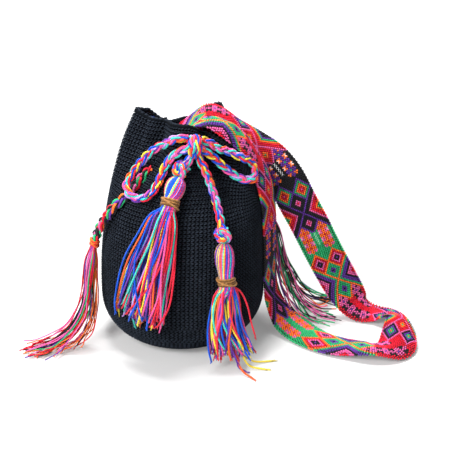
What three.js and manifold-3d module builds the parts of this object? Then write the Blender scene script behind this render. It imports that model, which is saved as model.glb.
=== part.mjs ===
// A crocheted bucket bag with a braided drawstring tied in a bow, two yarn tassels and a knotted
// shoulder strap whose threads end in two braided, fringed tails. The bag stands on its own base.
// Millimetres, +Z up, the front of the bag faces -Y, the origin is the middle of the base.
import * as THREE from "three";
import { mergeVertices } from "three/addons/utils/BufferGeometryUtils.js";
import Module from "manifold-3d";

const wasm = await Module();
wasm.setup();

// Bag
const BAG_HEIGHT = 280; // base to the rim, where nothing pulls the rim down
const BODY_RADIUS = 99;
const MOUTH_RADIUS = 57; // reach of the gathered folds at the rim
const CORNER_RADIUS = 56; // soft turn between base and wall
const WALL = 4; // thickness of the crochet
const SHOULDER_POWER = 2.6; // how late the wall draws in towards the mouth
const GATHER_DEPTH = 115; // the folds begin this far below the rim
const GATHER_BAND = 24; // and are fully drawn from here up to the rim
const LEAN = 6; // sideways lean of the mouth
const LEAN_START = 60;
const LEAN_FULL = 240;
const BASE_POLE = 7; // the base's first stitch lies this far off the origin
const ROUND_PITCH = 17; // one ridge of the outside stands for three crochet rounds
const ROUND_DEPTH = 1.2; // hollow between two ridges
const BAG_SEGMENTS = 40;
const INNER_CORNER_STEPS = 3;
const INNER_STEPS = 5;

// Folds and creases round the mouth: angle from +X seen from above, share of the mouth's radius,
// and how far the rim hangs below the bag's height
const MOUTH_FOLDS = [
  [18, 0.51, 43],
  [45, 1.0, 1],
  [82, 0.51, 16],
  [112, 0.83, 27],
  [147, 0.49, 14],
  [166, 0.8, 0],
  [183, 1.02, -4],
  [203, 0.74, 3],
  [222, 0.49, 6],
  [272, 0.86, 3],
  [312, 0.53, 18],
  [334, 0.84, 31],
  [352, 0.99, 59],
];

// Drawstring
const CORD = 10.5; // thickness of the braid
const CORD_SIDES = 8;
const EYELET_CLEARANCE = 0.5;
const DRAWSTRING_DROP = 16; // below the rim
const RUN_SHARE = 0.645; // radius of the drawn cord, as a share of the wall's radius there
const RUN_TUCK = { angle: 222, reach: 50, share: 0.32 }; // the cord stays inside the front left crease
const RUN_GAP = 58; // degrees at the front that the even run leaves to the two eyelets
const RUN_MIDDLE = 453; // degrees, the middle of the run, at the back of the bag
const RUN_POINTS = 30;
const RUN_STEPS = 44;
const LOOP_STEPS = 18;
const END_STEP = 10; // length of cord for each step of a hanging end
const SEAT_GAP = 0.3; // between pieces that touch

// Knots
const BOW_ANGLE = 281;
const BOW_KNOT = { width: 20, depth: 16, height: 25 };
const BOW_KNOT_LIFT = 4; // knot's back to the wall
const BOW_KNOT_RISE = 2; // knot's middle above the drawstring
const STOPPER_KNOT = { width: 15.5, depth: 14, height: 17 };
const KNOT_TURNS = 2;
const KNOT_BULGE = 0.07; // swell of each turn, as a share of the knot's width
const KNOT_BARREL = 0.7; // below 1 the knot is fuller than an egg
const KNOT_STEPS = 8;
const KNOT_SIDES = 10;
const EYELET_TURN = 6.5; // degrees from the bow's middle to each front eyelet
const EYELET_SWING = 4; // degrees that the cord swings aside behind the eyelet
const EYELET_DEPTH = 8.5; // inside the wall by then
const CORD_BITE = 2; // how far the cord goes into the bow's knot

// Tassels
const TASSEL_NECK = 8.5; // radius under the binding
const TASSEL_FLATNESS = 0.84; // depth of the head as a share of its width
const TASSEL_FLUTES = 11;
const TASSEL_SIDES = 22;
const TASSEL_FLUTE_DEPTH = 0.12;
const TASSEL_BINDING = { height: 10, thickness: 2.6, turns: 4 };
// Head of a tassel: share of the way from the cord's knot to the neck, radius, flute depth
const TASSEL_HEAD = [
  [0, 3, 0],
  [0.05, 7.5, 0.03],
  [0.2, 11, 0.06],
  [0.55, 11.5, 0.06],
  [0.72, 9.5, 0.02],
];
const NECK_MARGIN = 1; // bare neck above and below a binding
const TWINE_VALLEY = 0.55; // thickness of a binding between two turns, as a share of a turn's
const BINDING_SIDES = 10;

// Strap and its tails
const STRAP_WIDTH = 46;
const STRAP_THICKNESS = 3;
const STRAP_STEPS = 70;
const STRAP_COLUMNS = 4;
const TAIL = 12.5; // thickness of the braided tails
const TAIL_STEPS = 12;
const TAIL_SQUEEZE = 0.6; // the binding draws the threads in by this much
const TAIL_BINDING = { height: 9, thickness: 1.8, turns: 3 };
const FRINGE_SIDES = 14;
const FRINGE_FLUTES = 7;
const FRINGE_FLUTE_DEPTH = 0.14;
const FRINGE_LAID = 60; // below this height a fringe turns over from hanging to lying

const degrees = THREE.MathUtils.degToRad;
const vector = (x, y, z) => new THREE.Vector3(x, y, z);
const smooth = (t) => THREE.MathUtils.smoothstep(t, 0, 1);

// Joining and cutting of closed meshes

function bareGeometry(geometry) {
  const bare = geometry.clone();
  bare.deleteAttribute("normal");
  bare.deleteAttribute("uv");
  return mergeVertices(bare, 1e-3);
}

function solidOf(geometry) {
  const merged = bareGeometry(geometry);
  return new wasm.Manifold(
    new wasm.Mesh({
      numProp: 3,
      vertProperties: new Float32Array(merged.attributes.position.array),
      triVerts: new Uint32Array(merged.index.array),
    }),
  );
}

function geometryOf(solid) {
  const mesh = solid.getMesh();
  const geometry = new THREE.BufferGeometry();
  geometry.setAttribute("position", new THREE.BufferAttribute(new Float32Array(mesh.vertProperties), 3));
  geometry.setIndex(new THREE.BufferAttribute(new Uint32Array(mesh.triVerts), 1));
  geometry.computeVertexNormals();
  return geometry;
}

function cut(geometry, ...tools) {
  return geometryOf(tools.reduce((body, tool) => body.subtract(solidOf(tool)), solidOf(geometry)));
}

// A closed skin through rings of points, with a pole in the middle of both ends
function loft(rings, startPole, endPole) {
  const count = rings[0].length;
  const points = rings.flat();
  const faces = [];
  rings.slice(1).forEach((_, row) => {
    for (let i = 0; i < count; i += 1) {
      const next = (i + 1) % count;
      const [a, b] = [row * count + i, row * count + next];
      faces.push(a, b, b + count, a, b + count, a + count);
    }
  });
  const [start, end] = [points.length, points.length + 1];
  const last = (rings.length - 1) * count;
  points.push(startPole, endPole);
  for (let i = 0; i < count; i += 1) {
    const next = (i + 1) % count;
    faces.push(start, next, i, end, last + i, last + next);
  }
  const geometry = new THREE.BufferGeometry().setFromPoints(points);
  geometry.setIndex(faces);
  return geometry;
}

const middle = (ring) =>
  ring.reduce((sum, point) => sum.add(point), vector(0, 0, 0)).divideScalar(ring.length);

// A round cord along a curve through chosen points
function cordAlong(points, thickness, steps) {
  const path = new THREE.CatmullRomCurve3(points, false, "centripetal");
  const section = new THREE.Shape(
    Array.from({ length: CORD_SIDES }, (_, i) => {
      const turn = (2 * Math.PI * i) / CORD_SIDES;
      return new THREE.Vector2(Math.cos(turn), Math.sin(turn)).multiplyScalar(thickness / 2);
    }),
  );
  return new THREE.ExtrudeGeometry(section, { steps, extrudePath: path, bevelEnabled: false });
}

// The bag's wall

function mouthFold(angle) {
  const turn = THREE.MathUtils.euclideanModulo(THREE.MathUtils.radToDeg(angle) - MOUTH_FOLDS[0][0], 360);
  const stops = [...MOUTH_FOLDS, [MOUTH_FOLDS[0][0] + 360, MOUTH_FOLDS[0][1], MOUTH_FOLDS[0][2]]];
  const reached = stops.findIndex((stop, i) => i > 0 && stop[0] - stops[0][0] >= turn);
  const [before, after] = [stops[reached - 1], stops[reached]];
  const t = (turn + stops[0][0] - before[0]) / (after[0] - before[0]);
  const ease = (1 - Math.cos(Math.PI * t)) / 2;
  return {
    share: THREE.MathUtils.lerp(before[1], after[1], ease),
    drop: THREE.MathUtils.lerp(before[2], after[2], ease),
  };
}

function roundRadius(height) {
  if (height < CORNER_RADIUS) {
    const rise = CORNER_RADIUS - height;
    return BODY_RADIUS - CORNER_RADIUS + Math.sqrt(CORNER_RADIUS ** 2 - rise ** 2);
  }
  const t = (height - CORNER_RADIUS) / (BAG_HEIGHT - CORNER_RADIUS);
  return BODY_RADIUS - (BODY_RADIUS - MOUTH_RADIUS) * t ** SHOULDER_POWER;
}

const leanAt = (height) => LEAN * smooth((height - LEAN_START) / (LEAN_FULL - LEAN_START));

// Height of a crochet round that would lie at the given height on an upright bag
function roundHeight(angle, height) {
  const above = Math.max(0, height - (BAG_HEIGHT - GATHER_DEPTH));
  return height - above * (mouthFold(angle).drop / GATHER_DEPTH);
}

function wallRadius(angle, height) {
  const drawn = smooth((height - (BAG_HEIGHT - GATHER_DEPTH)) / (GATHER_DEPTH - GATHER_BAND));
  return roundRadius(roundHeight(angle, height)) * (1 + (mouthFold(angle).share - 1) * drawn);
}

// Point at a distance outside the wall (inside when negative), on the round of the given height
function wallPoint(angle, height, lift) {
  const turn = 1e-3;
  const radius = wallRadius(angle, height);
  const slope = (wallRadius(angle + turn, height) - wallRadius(angle - turn, height)) / (2 * turn * radius);
  const outward = new THREE.Vector2(Math.cos(angle), Math.sin(angle));
  const sideways = new THREE.Vector2(Math.sin(angle), -Math.cos(angle));
  const normal = outward.clone().addScaledVector(sideways, slope).normalize();
  const place = outward.multiplyScalar(radius).addScaledVector(normal, lift);
  const z = roundHeight(angle, height);
  return vector(place.x + leanAt(z), place.y, z);
}

// Point on a line out from the bag's axis, so far below the rim and so far outside the wall
function besideBag(angleDegrees, drop, lift) {
  const angle = degrees(angleDegrees);
  const height = BAG_HEIGHT - drop;
  const radius = wallRadius(angle, height) + lift;
  const z = roundHeight(angle, height);
  return vector(radius * Math.cos(angle) + leanAt(z), radius * Math.sin(angle), z);
}

// The shell of the bag, with ridges of crochet rounds on its outside from the base up to the rim
function bagShell() {
  const angles = Array.from({ length: BAG_SEGMENTS }, (_, i) => (2 * Math.PI * i) / BAG_SEGMENTS);
  const onWall = (height, lift) => angles.map((a) => wallPoint(a, height, lift));
  const onCorner = (turn, lift) => {
    const radius = BODY_RADIUS - CORNER_RADIUS + (CORNER_RADIUS + lift) * Math.sin(turn);
    const z = CORNER_RADIUS - (CORNER_RADIUS + lift) * Math.cos(turn);
    return angles.map((a) => vector(radius * Math.cos(a), radius * Math.sin(a), z));
  };
  const cornerArc = (CORNER_RADIUS * Math.PI) / 2;
  const rim = WALL / 2; // the rim is a rounded stitch
  const wallHeight = BAG_HEIGHT - rim - CORNER_RADIUS;
  const rows = 2 * Math.round((cornerArc + wallHeight) / ROUND_PITCH);
  const outside = Array.from({ length: rows + 1 }, (_, i) => {
    const reach = ((cornerArc + wallHeight) * i) / rows;
    const lift = i % 2 ? -ROUND_DEPTH : 0;
    return reach < cornerArc
      ? onCorner(reach / CORNER_RADIUS, lift)
      : onWall(CORNER_RADIUS + reach - cornerArc, lift);
  });
  const inside = [
    ...Array.from({ length: INNER_STEPS + 1 }, (_, i) =>
      onWall(CORNER_RADIUS + wallHeight * (1 - i / INNER_STEPS), -WALL),
    ),
    ...Array.from({ length: INNER_CORNER_STEPS }, (_, i) =>
      onCorner((Math.PI / 2) * (1 - (i + 1) / INNER_CORNER_STEPS), -WALL),
    ),
  ];
  const rings = [...outside, onWall(BAG_HEIGHT, -rim), ...inside];
  return loft(rings, vector(BASE_POLE, BASE_POLE / 2, 0), vector(0, 0, WALL));
}

// The drawstring: inside the folds, outside the creases, both ends out through the front fold

function runPoint(angleDegrees) {
  const angle = degrees(angleDegrees);
  const z = roundHeight(angle, BAG_HEIGHT - DRAWSTRING_DROP);
  const away = Math.abs(THREE.MathUtils.euclideanModulo(angleDegrees - RUN_TUCK.angle + 180, 360) - 180);
  const share = THREE.MathUtils.lerp(RUN_TUCK.share, RUN_SHARE, smooth(away / RUN_TUCK.reach));
  const radius = share * roundRadius(z);
  return vector(radius * Math.cos(angle) + leanAt(z), radius * Math.sin(angle), z);
}

// From the knot in through one front eyelet; side is 1 to the right of the bow and -1 to its left
const throughEyelet = (side) => [
  besideBag(BOW_ANGLE + side * EYELET_TURN, DRAWSTRING_DROP, BOW_KNOT_LIFT + CORD_BITE),
  besideBag(BOW_ANGLE + side * EYELET_TURN, DRAWSTRING_DROP, 0),
  besideBag(BOW_ANGLE + side * (EYELET_TURN + EYELET_SWING), DRAWSTRING_DROP, -EYELET_DEPTH),
];
const drawstringRoute = [
  ...throughEyelet(1),
  ...Array.from({ length: RUN_POINTS }, (_, i) =>
    runPoint(RUN_MIDDLE + (360 - RUN_GAP) * (i / (RUN_POINTS - 1) - 0.5)),
  ),
  ...throughEyelet(-1).reverse(),
];

// A knot wound round on itself: a barrel with a bulge for each turn of the cord
function wovenKnot(size, place, grow) {
  const profile = Array.from({ length: KNOT_STEPS + 1 }, (_, i) => {
    const t = i / KNOT_STEPS;
    const swell = 1 + KNOT_BULGE * Math.cos(2 * Math.PI * KNOT_TURNS * (t - 0.5));
    return new THREE.Vector2(Math.sin(Math.PI * t) ** KNOT_BARREL * swell, -Math.cos(Math.PI * t));
  });
  profile[0].x = 0;
  profile[KNOT_STEPS].x = 0;
  return new THREE.LatheGeometry(profile, KNOT_SIDES)
    .rotateX(Math.PI / 2)
    .scale(size.width / 2 + grow, size.depth / 2 + grow, size.height / 2 + grow)
    .translate(place.x, place.y, place.z);
}

const bowMiddle = besideBag(BOW_ANGLE, DRAWSTRING_DROP - BOW_KNOT_RISE, BOW_KNOT.depth / 2 + BOW_KNOT_LIFT);
const bowKnot = (grow) => wovenKnot(BOW_KNOT, bowMiddle, grow);

// Bow loops and hanging ends: angle, drop below the rim and lift off the wall of each chosen point
const LEFT_LOOP = [
  [275, 6, 14],
  [264, 7, 15],
  [252, 17, 15],
  [239, 26, 24],
  [230, 40, 30],
  [224, 54, 29],
  [224, 67, 28],
  [231, 76, 24],
  [239, 79, 16],
  [244.5, 74, 10],
  [249, 60, 9],
  [253.5, 44, 9],
  [261, 28, 12],
  [273, 17.5, 14],
];
const RIGHT_LOOP = [
  [287, 4.5, 18],
  [296, 5, 24],
  [305, 13, 29],
  [315, 18, 30],
  [325, 22, 25],
  [333, 26, 19],
  [336.5, 35, 19],
  [336, 48, 16],
  [332.5, 56, 14],
  [324, 55, 16],
  [316, 47, 22],
  [308, 35, 25],
  [299, 23, 23],
  [287.5, 16, 17],
];
// The last point of an end is the middle of its stopper knot
const LEFT_END = [
  [277.4, 29, 12],
  [273, 36.5, 12.5],
  [268.3, 45, 10.5],
];
const RIGHT_END = [
  [284.6, 29, 13],
  [288, 37, 14.5],
  [291, 47, 13],
  [294, 66, 11],
  [295.5, 80, 9],
  [296, 96, 8],
  [296.3, 106, 8],
  [296.5, 118, 10],
];
const onBag = (route) => route.map(([angle, drop, lift]) => besideBag(angle, drop, lift));

function bowLoop(route) {
  return cut(cordAlong(onBag(route), CORD, LOOP_STEPS), bowKnot(SEAT_GAP));
}

function hangingEnd(route) {
  const points = onBag(route);
  const knotMiddle = points[points.length - 1];
  const steps = Math.ceil(new THREE.CatmullRomCurve3(points).getLength() / END_STEP);
  const seat = wovenKnot(STOPPER_KNOT, knotMiddle, SEAT_GAP);
  return {
    knotMiddle,
    cord: cut(cordAlong(points, CORD, steps), bowKnot(SEAT_GAP), seat),
    knot: wovenKnot(STOPPER_KNOT, knotMiddle, 0),
  };
}

// A bundle of yarn or thread: stations with a centre, half-width, half-depth and flute depth,
// and the way that its flatter side faces at a point
function bundle(stations, facing, sides, flutes) {
  const path = new THREE.CatmullRomCurve3(stations.map((s) => s.at), false, "centripetal");
  const count = stations.length - 1;
  const rings = stations.map((station, i) => {
    const along = path.getTangent(i / count);
    const out = facing(station.at);
    out.addScaledVector(along, -out.dot(along)).normalize();
    const across = out.clone().cross(along).normalize();
    return Array.from({ length: sides }, (_, k) => {
      const turn = (2 * Math.PI * k) / sides;
      const swell = 1 + station.flute * Math.cos(flutes * turn);
      return station.at
        .clone()
        .addScaledVector(across, station.width * swell * Math.cos(turn))
        .addScaledVector(out, station.depth * swell * Math.sin(turn));
    });
  });
  return loft(rings, middle(rings[0]), middle(rings[count]));
}

const awayFromBag = (point) => vector(point.x, point.y, 0).normalize();
const upAndAway = (point) => awayFromBag(point).add(vector(0, 0, 1));
// A fringe faces out from the bag where it hangs and up where it lies
const laidOut = (point) => awayFromBag(point).lerp(vector(0, 0, 1), smooth(1 - point.z / FRINGE_LAID));

// Twine wound round a bundle's neck
function windings(size, neck, place, along) {
  const steps = size.turns * 2;
  const bore = (neck + SEAT_GAP) / Math.cos(Math.PI / BINDING_SIDES); // the bore's flats clear the neck
  const outer = Array.from({ length: steps + 1 }, (_, i) => {
    const t = i / steps;
    const bulge = Math.abs(Math.sin(Math.PI * size.turns * t));
    const thickness = size.thickness * THREE.MathUtils.lerp(TWINE_VALLEY, 1, bulge);
    return new THREE.Vector2(bore + thickness, (t - 0.5) * size.height);
  });
  const inner = [-0.5, 0.5].map((end) => new THREE.Vector2(bore, end * size.height));
  const ring = new THREE.LatheGeometry([inner[0], ...outer, inner[1], inner[0].clone()], BINDING_SIDES);
  const turn = new THREE.Quaternion().setFromUnitVectors(vector(0, 1, 0), along);
  return ring.applyQuaternion(turn).translate(place.x, place.y, place.z);
}

// A tassel: its head hangs under the cord's stopper knot, its skirt fans out from the neck.
// The neck is an angle, drop and lift, and each skirt station adds a half-width and a half-depth.
function tassel(knotMiddle, neck, skirt) {
  const neckMiddle = besideBag(...neck);
  const down = neckMiddle.clone().sub(knotMiddle);
  const along = down.clone().normalize();
  const start = (STOPPER_KNOT.height / 2 + SEAT_GAP) / down.length();
  const head = TASSEL_HEAD.map(([t, radius, flute]) => ({
    at: knotMiddle.clone().addScaledVector(down, start + (1 - start) * t),
    width: radius,
    depth: radius * TASSEL_FLATNESS,
    flute,
  }));
  const half = TASSEL_BINDING.height / 2 + NECK_MARGIN;
  const bound = [-half, half].map((step) => ({
    at: neckMiddle.clone().addScaledVector(along, step),
    width: TASSEL_NECK,
    depth: TASSEL_NECK,
    flute: 0,
  }));
  const fan = skirt.map(([angle, drop, lift, width, depth]) => ({
    at: besideBag(angle, drop, lift),
    width,
    depth,
    flute: TASSEL_FLUTE_DEPTH,
  }));
  return {
    yarn: bundle([...head, ...bound, ...fan], upAndAway, TASSEL_SIDES, TASSEL_FLUTES),
    binding: windings(TASSEL_BINDING, TASSEL_NECK, neckMiddle, along),
  };
}

const leftEnd = hangingEnd(LEFT_END);
const rightEnd = hangingEnd(RIGHT_END);
const leftTassel = tassel(leftEnd.knotMiddle, [262, 79, 14.5], [
  [259, 96, 13, 14, 10],
  [256.5, 120, 12.5, 18, 10],
  [252.5, 152, 12, 22, 9.5],
  [249, 185, 11.5, 25, 9],
  [246, 214, 12, 27, 8.5],
  [245, 226, 12.5, 26, 8],
]);
const rightTassel = tassel(rightEnd.knotMiddle, [297.8, 171, 14.5], [
  [298, 188, 13.5, 15, 10.5],
  [298.3, 206, 13.5, 19, 11],
  [298.5, 228, 14, 22, 11],
  [299, 250, 22, 24, 11],
  [299, 266, 38, 25, 10],
]);

// The strap: a flat band of knots, from inside the mouth over the right side to the floor and back.
// Each station is a place, the direction across the band, how far the band curls towards the side
// that shows (half-angle of its arc, below zero away from it), and a share of the full width.
const SIDE = BODY_RADIUS;
const RIM = BAG_HEIGHT;
const STRAP_STATIONS = [
  [[-26, -22, RIM - 60], [0.6, -0.6, -0.3], 0.3, 0.32],
  [[-16, -11, RIM - 58], [0.5, -0.75, -0.3], 1, 0.7],
  [[-1, 3, RIM - 42], [0.3, -0.9, -0.2], 0.9, 0.95],
  [[13, 7, RIM - 21], [0.12, -0.95, -0.28], 0.1, 0.85],
  [[30, 9, RIM - 8], [-0.08, -0.9, -0.4], -0.2, 0.86],
  [[50.5, 10, RIM - 13], [-0.05, -0.85, -0.52], -0.65, 1],
  [[69.5, 14, RIM - 26.5], [-0.2, -0.88, -0.42], -0.75, 1],
  [[SIDE - 8.5, 19, RIM - 51], [-0.44, -0.62, -0.62], -0.45, 1],
  [[SIDE + 10, 19, RIM - 71], [-0.68, -0.22, -0.68], -0.25, 1],
  [[SIDE + 25.5, 20, RIM - 91.5], [-0.8, 0.05, -0.58], -0.12, 1],
  [[SIDE + 39, 21, RIM - 118], [-0.87, 0, -0.49], -0.1, 1],
  [[SIDE + 57, 23, 128], [-0.87, 0.02, -0.47], -0.1, 1],
  [[SIDE + 73, 26, 95], [-0.88, 0.02, -0.46], -0.1, 1],
  [[SIDE + 90, 31, 62], [-0.86, -0.05, -0.48], -0.12, 1],
  [[SIDE + 107, 34, 33], [-0.8, -0.35, -0.45], -0.15, 1],
  [[SIDE + 126, 29, 13], [-0.6, -0.75, -0.18], -0.2, 1],
  [[SIDE + 146, 25, 8.5], [-0.1, -0.98, 0.05], -0.3, 1],
  [[SIDE + 162, 10, 13], [-0.55, -0.78, 0.26], -0.4, 0.95],
  [[SIDE + 171, -15, 17.5], [-0.85, 0, 0.46], -0.6, 0.9],
  [[SIDE + 164, -43, 14], [-0.68, 0.66, 0.26], -0.5, 0.94],
  [[SIDE + 153, -67, 9], [-0.45, 0.88, 0.05], -0.4, 1],
  [[SIDE + 127, -72, 11.5], [-0.06, 0.95, -0.22], -0.35, 1],
  [[SIDE + 107, -65, 10], [0.08, 0.98, -0.12], -0.4, 1],
  [[SIDE + 84, -56, 8.5], [0.25, 0.96, -0.03], -0.45, 1],
  [[SIDE + 63, -42, 8], [0.6, 0.8, 0], -0.4, 1],
  [[SIDE + 44, -22, 9], [0.65, 0.75, 0.05], -0.3, 1],
  [[SIDE + 27, -3, 17], [0.5, 0.85, 0.05], -0.2, 1],
  [[SIDE + 14, 5, 38], [0.35, 0.93, 0], -0.15, 1],
  [[SIDE + 9.2, 3, 68], [0.33, 0.94, 0], -0.12, 1],
  [[SIDE + 8.6, 0, 104], [0.34, 0.94, 0], -0.12, 1],
  [[SIDE + 7.8, -1, 142], [0.34, 0.94, 0], -0.15, 1],
  [[SIDE + 4.5, -4.5, RIM - 102], [0.34, 0.94, 0.03], -0.2, 0.95],
  [[SIDE - 4, -8, RIM - 70], [0.32, 0.94, 0.03], -0.3, 0.92],
  [[84.5, -13, RIM - 43.5], [0.25, 0.95, -0.08], -0.5, 0.86],
  [[69, -20, RIM - 22], [0.25, 0.95, 0], -0.8, 0.95],
  [[53, -25, RIM - 9], [0.35, 0.92, -0.12], -0.9, 1],
  [[38.5, -24.5, RIM - 3.5], [0.48, 0.87, -0.05], -0.7, 0.88],
  [[26, -19.5, RIM - 8], [0.68, 0.7, 0.05], -0.6, 0.78],
  [[18, -14.5, RIM - 35], [0.85, 0.5, 0.1], -0.7, 0.78],
  [[19, -9, RIM - 62], [0.7, 0, 0.5], -0.8, 0.7],
  [[30, 2.5, RIM - 71.5], [0.3, -0.5, 0.8], -0.7, 0.5],
  [[43, 9, RIM - 72], [0.2, -0.5, 0.85], -0.3, 0.32],
];

function strapBand() {
  const path = new THREE.CatmullRomCurve3(STRAP_STATIONS.map(([at]) => vector(...at)), false, "centripetal");
  const acrossPath = new THREE.CatmullRomCurve3(STRAP_STATIONS.map(([, across]) => vector(...across)));
  const shape = new THREE.CatmullRomCurve3(STRAP_STATIONS.map(([, , curl, share]) => vector(curl, share, 0)));
  const columns = Array.from({ length: STRAP_COLUMNS + 1 }, (_, k) => (2 * k) / STRAP_COLUMNS - 1);
  const rings = Array.from({ length: STRAP_STEPS + 1 }, (_, i) => {
    const t = i / STRAP_STEPS;
    const centre = path.getPoint(t);
    const along = path.getTangent(t);
    const across = acrossPath.getPoint(t);
    across.addScaledVector(along, -across.dot(along)).normalize();
    const back = along.clone().cross(across);
    const { x: curl, y: share } = shape.getPoint(t);
    const bend = ((STRAP_WIDTH / 2) * share) / curl;
    const point = (place, depth) =>
      centre
        .clone()
        .addScaledVector(across, (bend + depth) * Math.sin(curl * place))
        .addScaledVector(back, (bend + depth) * Math.cos(curl * place) - bend);
    const behind = columns.map((place) => point(place, STRAP_THICKNESS / 2)).reverse();
    const inFront = columns.map((place) => point(place, -STRAP_THICKNESS / 2));
    return [...behind, ...inFront];
  });
  return loft(rings, middle(rings[0]), middle(rings[STRAP_STEPS]));
}

// Braided tails of the strap: out through the wall and down the outside of the bag
const LEFT_TAIL = [
  [-27.2, -23.2, RIM - 60.2],
  [-37, -32.5, RIM - 65],
  [-48, -43, RIM - 75],
  [-60, -49, RIM - 88],
  [23 - SIDE, -51, RIM - 102],
  [11 - SIDE, -46, RIM - 120],
  [4 - SIDE, -42.5, RIM - 134],
  [0.5 - SIDE, -41.5, RIM - 144],
];
const RIGHT_TAIL = [
  [44.5, 9.8, RIM - 72],
  [58, 16, RIM - 72],
  [72, 22, RIM - 71.5],
  [SIDE - 14, 29, RIM - 74],
  [SIDE - 4, 36, RIM - 82],
  [SIDE + 2, 40, RIM - 94],
  [SIDE + 5, 43, RIM - 112],
  [SIDE + 7.5, 44, RIM - 130],
  [SIDE + 9, 44, RIM - 141],
];
// Each fringe station is a place, a half-width and a half-depth
const LEFT_FRINGE = [
  [-SIDE - 6, -46, RIM - 168, 8, 7],
  [-SIDE - 9, -50, RIM - 188, 9, 7],
  [-SIDE - 12, -53, 70, 10, 7],
  [-SIDE - 19, -56, 48, 11, 7],
  [-SIDE - 32, -57, 27, 13, 6],
  [-SIDE - 48, -58, 14, 14, 5.5],
  [-SIDE - 64, -63, 7.5, 15, 4.5],
  [-SIDE - 79, -71, 5.5, 14, 3.5],
];
const RIGHT_FRINGE = [
  [SIDE + 14, 42, RIM - 164, 8, 7],
  [SIDE + 18, 40, RIM - 184, 9, 7],
  [SIDE + 23, 37, 74, 10, 7],
  [SIDE + 30, 34, 52, 11, 7],
  [SIDE + 41, 31, 31, 13, 6],
  [SIDE + 54, 28, 16, 14, 5.5],
  [SIDE + 68, 24, 8, 14, 4.5],
  [SIDE + 82, 20, 5.5, 12, 3.5],
];

const tailCord = (route, thickness) =>
  cordAlong(route.map((point) => vector(...point)), thickness, TAIL_STEPS);

function tail(route, fringe) {
  const [before, end] = route.slice(-2).map((point) => vector(...point));
  const along = end.clone().sub(before).normalize();
  const past = (distance) => end.clone().addScaledVector(along, SEAT_GAP + distance);
  const neck = TAIL / 2 - TAIL_SQUEEZE;
  const bound = [0, TAIL_BINDING.height + NECK_MARGIN].map((distance) => ({
    at: past(distance),
    width: neck,
    depth: neck,
    flute: 0,
  }));
  const loose = fringe.map(([x, y, z, width, depth]) => ({
    at: vector(x, y, z),
    width,
    depth,
    flute: FRINGE_FLUTE_DEPTH,
  }));
  return {
    braid: tailCord(route, TAIL),
    hole: tailCord(route, TAIL + 2 * EYELET_CLEARANCE),
    binding: windings(TAIL_BINDING, neck, past(TAIL_BINDING.height / 2), along),
    fringe: bundle([...bound, ...loose], laidOut, FRINGE_SIDES, FRINGE_FLUTES),
  };
}

const leftTail = tail(LEFT_TAIL, LEFT_FRINGE);
const rightTail = tail(RIGHT_TAIL, RIGHT_FRINGE);

// Assembly

const cloth = (color, roughness) => new THREE.MeshStandardMaterial({ color, roughness, metalness: 0 });
const CROCHET = cloth(0x23262c, 0.95);
const YARN = cloth(0xe0407a, 0.9);
const TWINE = cloth(0x8f6433, 0.9);
const MACRAME = cloth(0xb0203c, 0.85);

const bag = new THREE.Group();

function addPiece(name, geometry, material) {
  const mesh = new THREE.Mesh(geometry, material);
  mesh.name = name;
  bag.add(mesh);
}

const drawstring = cordAlong(drawstringRoute, CORD, RUN_STEPS);
const eyelets = cordAlong(drawstringRoute, CORD + 2 * EYELET_CLEARANCE, RUN_STEPS);

addPiece("bag_body", cut(bagShell(), eyelets, leftTail.hole, rightTail.hole), CROCHET);
addPiece("drawstring_run", cut(drawstring, bowKnot(SEAT_GAP)), YARN);
addPiece("bow_knot", bowKnot(0), YARN);
addPiece("bow_loop_left", bowLoop(LEFT_LOOP), YARN);
addPiece("bow_loop_right", bowLoop(RIGHT_LOOP), YARN);
addPiece("drawstring_end_left", leftEnd.cord, YARN);
addPiece("drawstring_end_right", rightEnd.cord, YARN);
addPiece("stopper_knot_left", leftEnd.knot, YARN);
addPiece("stopper_knot_right", rightEnd.knot, YARN);
addPiece("tassel_left", leftTassel.yarn, YARN);
addPiece("tassel_binding_left", leftTassel.binding, TWINE);
addPiece("tassel_right", rightTassel.yarn, YARN);
addPiece("tassel_binding_right", rightTassel.binding, TWINE);
addPiece("strap_band", strapBand(), MACRAME);
addPiece("strap_braid_left", leftTail.braid, MACRAME);
addPiece("braid_binding_left", leftTail.binding, MACRAME);
addPiece("fringe_left", leftTail.fringe, MACRAME);
addPiece("strap_braid_right", rightTail.braid, MACRAME);
addPiece("braid_binding_right", rightTail.binding, MACRAME);
addPiece("fringe_right", rightTail.fringe, MACRAME);

export default bag;
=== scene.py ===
"""A black crochet bucket bag with a braided drawstring, yarn tassels and a patterned knotted strap.

Metres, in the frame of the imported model: +Z up, the bow at the front faces -Y.
"""
import math

import bpy
import numpy as np
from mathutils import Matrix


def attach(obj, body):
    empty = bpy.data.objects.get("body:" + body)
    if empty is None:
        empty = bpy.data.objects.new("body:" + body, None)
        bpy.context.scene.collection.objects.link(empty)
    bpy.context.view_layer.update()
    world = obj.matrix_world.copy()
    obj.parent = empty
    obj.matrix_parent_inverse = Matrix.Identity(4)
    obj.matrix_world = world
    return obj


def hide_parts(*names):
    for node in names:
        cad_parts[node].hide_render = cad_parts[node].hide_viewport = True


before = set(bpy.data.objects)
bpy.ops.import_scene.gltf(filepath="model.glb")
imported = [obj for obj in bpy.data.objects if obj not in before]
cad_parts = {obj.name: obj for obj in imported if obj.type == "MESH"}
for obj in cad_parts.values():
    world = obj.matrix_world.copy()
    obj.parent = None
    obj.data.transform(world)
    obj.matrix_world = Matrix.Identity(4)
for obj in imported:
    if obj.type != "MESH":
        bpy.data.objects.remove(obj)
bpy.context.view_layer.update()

# Bag body
# A bucket of single crochet in thick black yarn, worked in rounds from the middle of the base up to the rim.
# The drawstring gathers its mouth into folds and creases, and the mouth leans to the right. Its stitches come
# last, because they part round the cords.
BAG_HEIGHT = 0.280
BODY_RADIUS = 0.099
MOUTH_RADIUS = 0.057
CORNER_RADIUS = 0.056
WALL = 0.004
SHOULDER_POWER = 2.6
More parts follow.
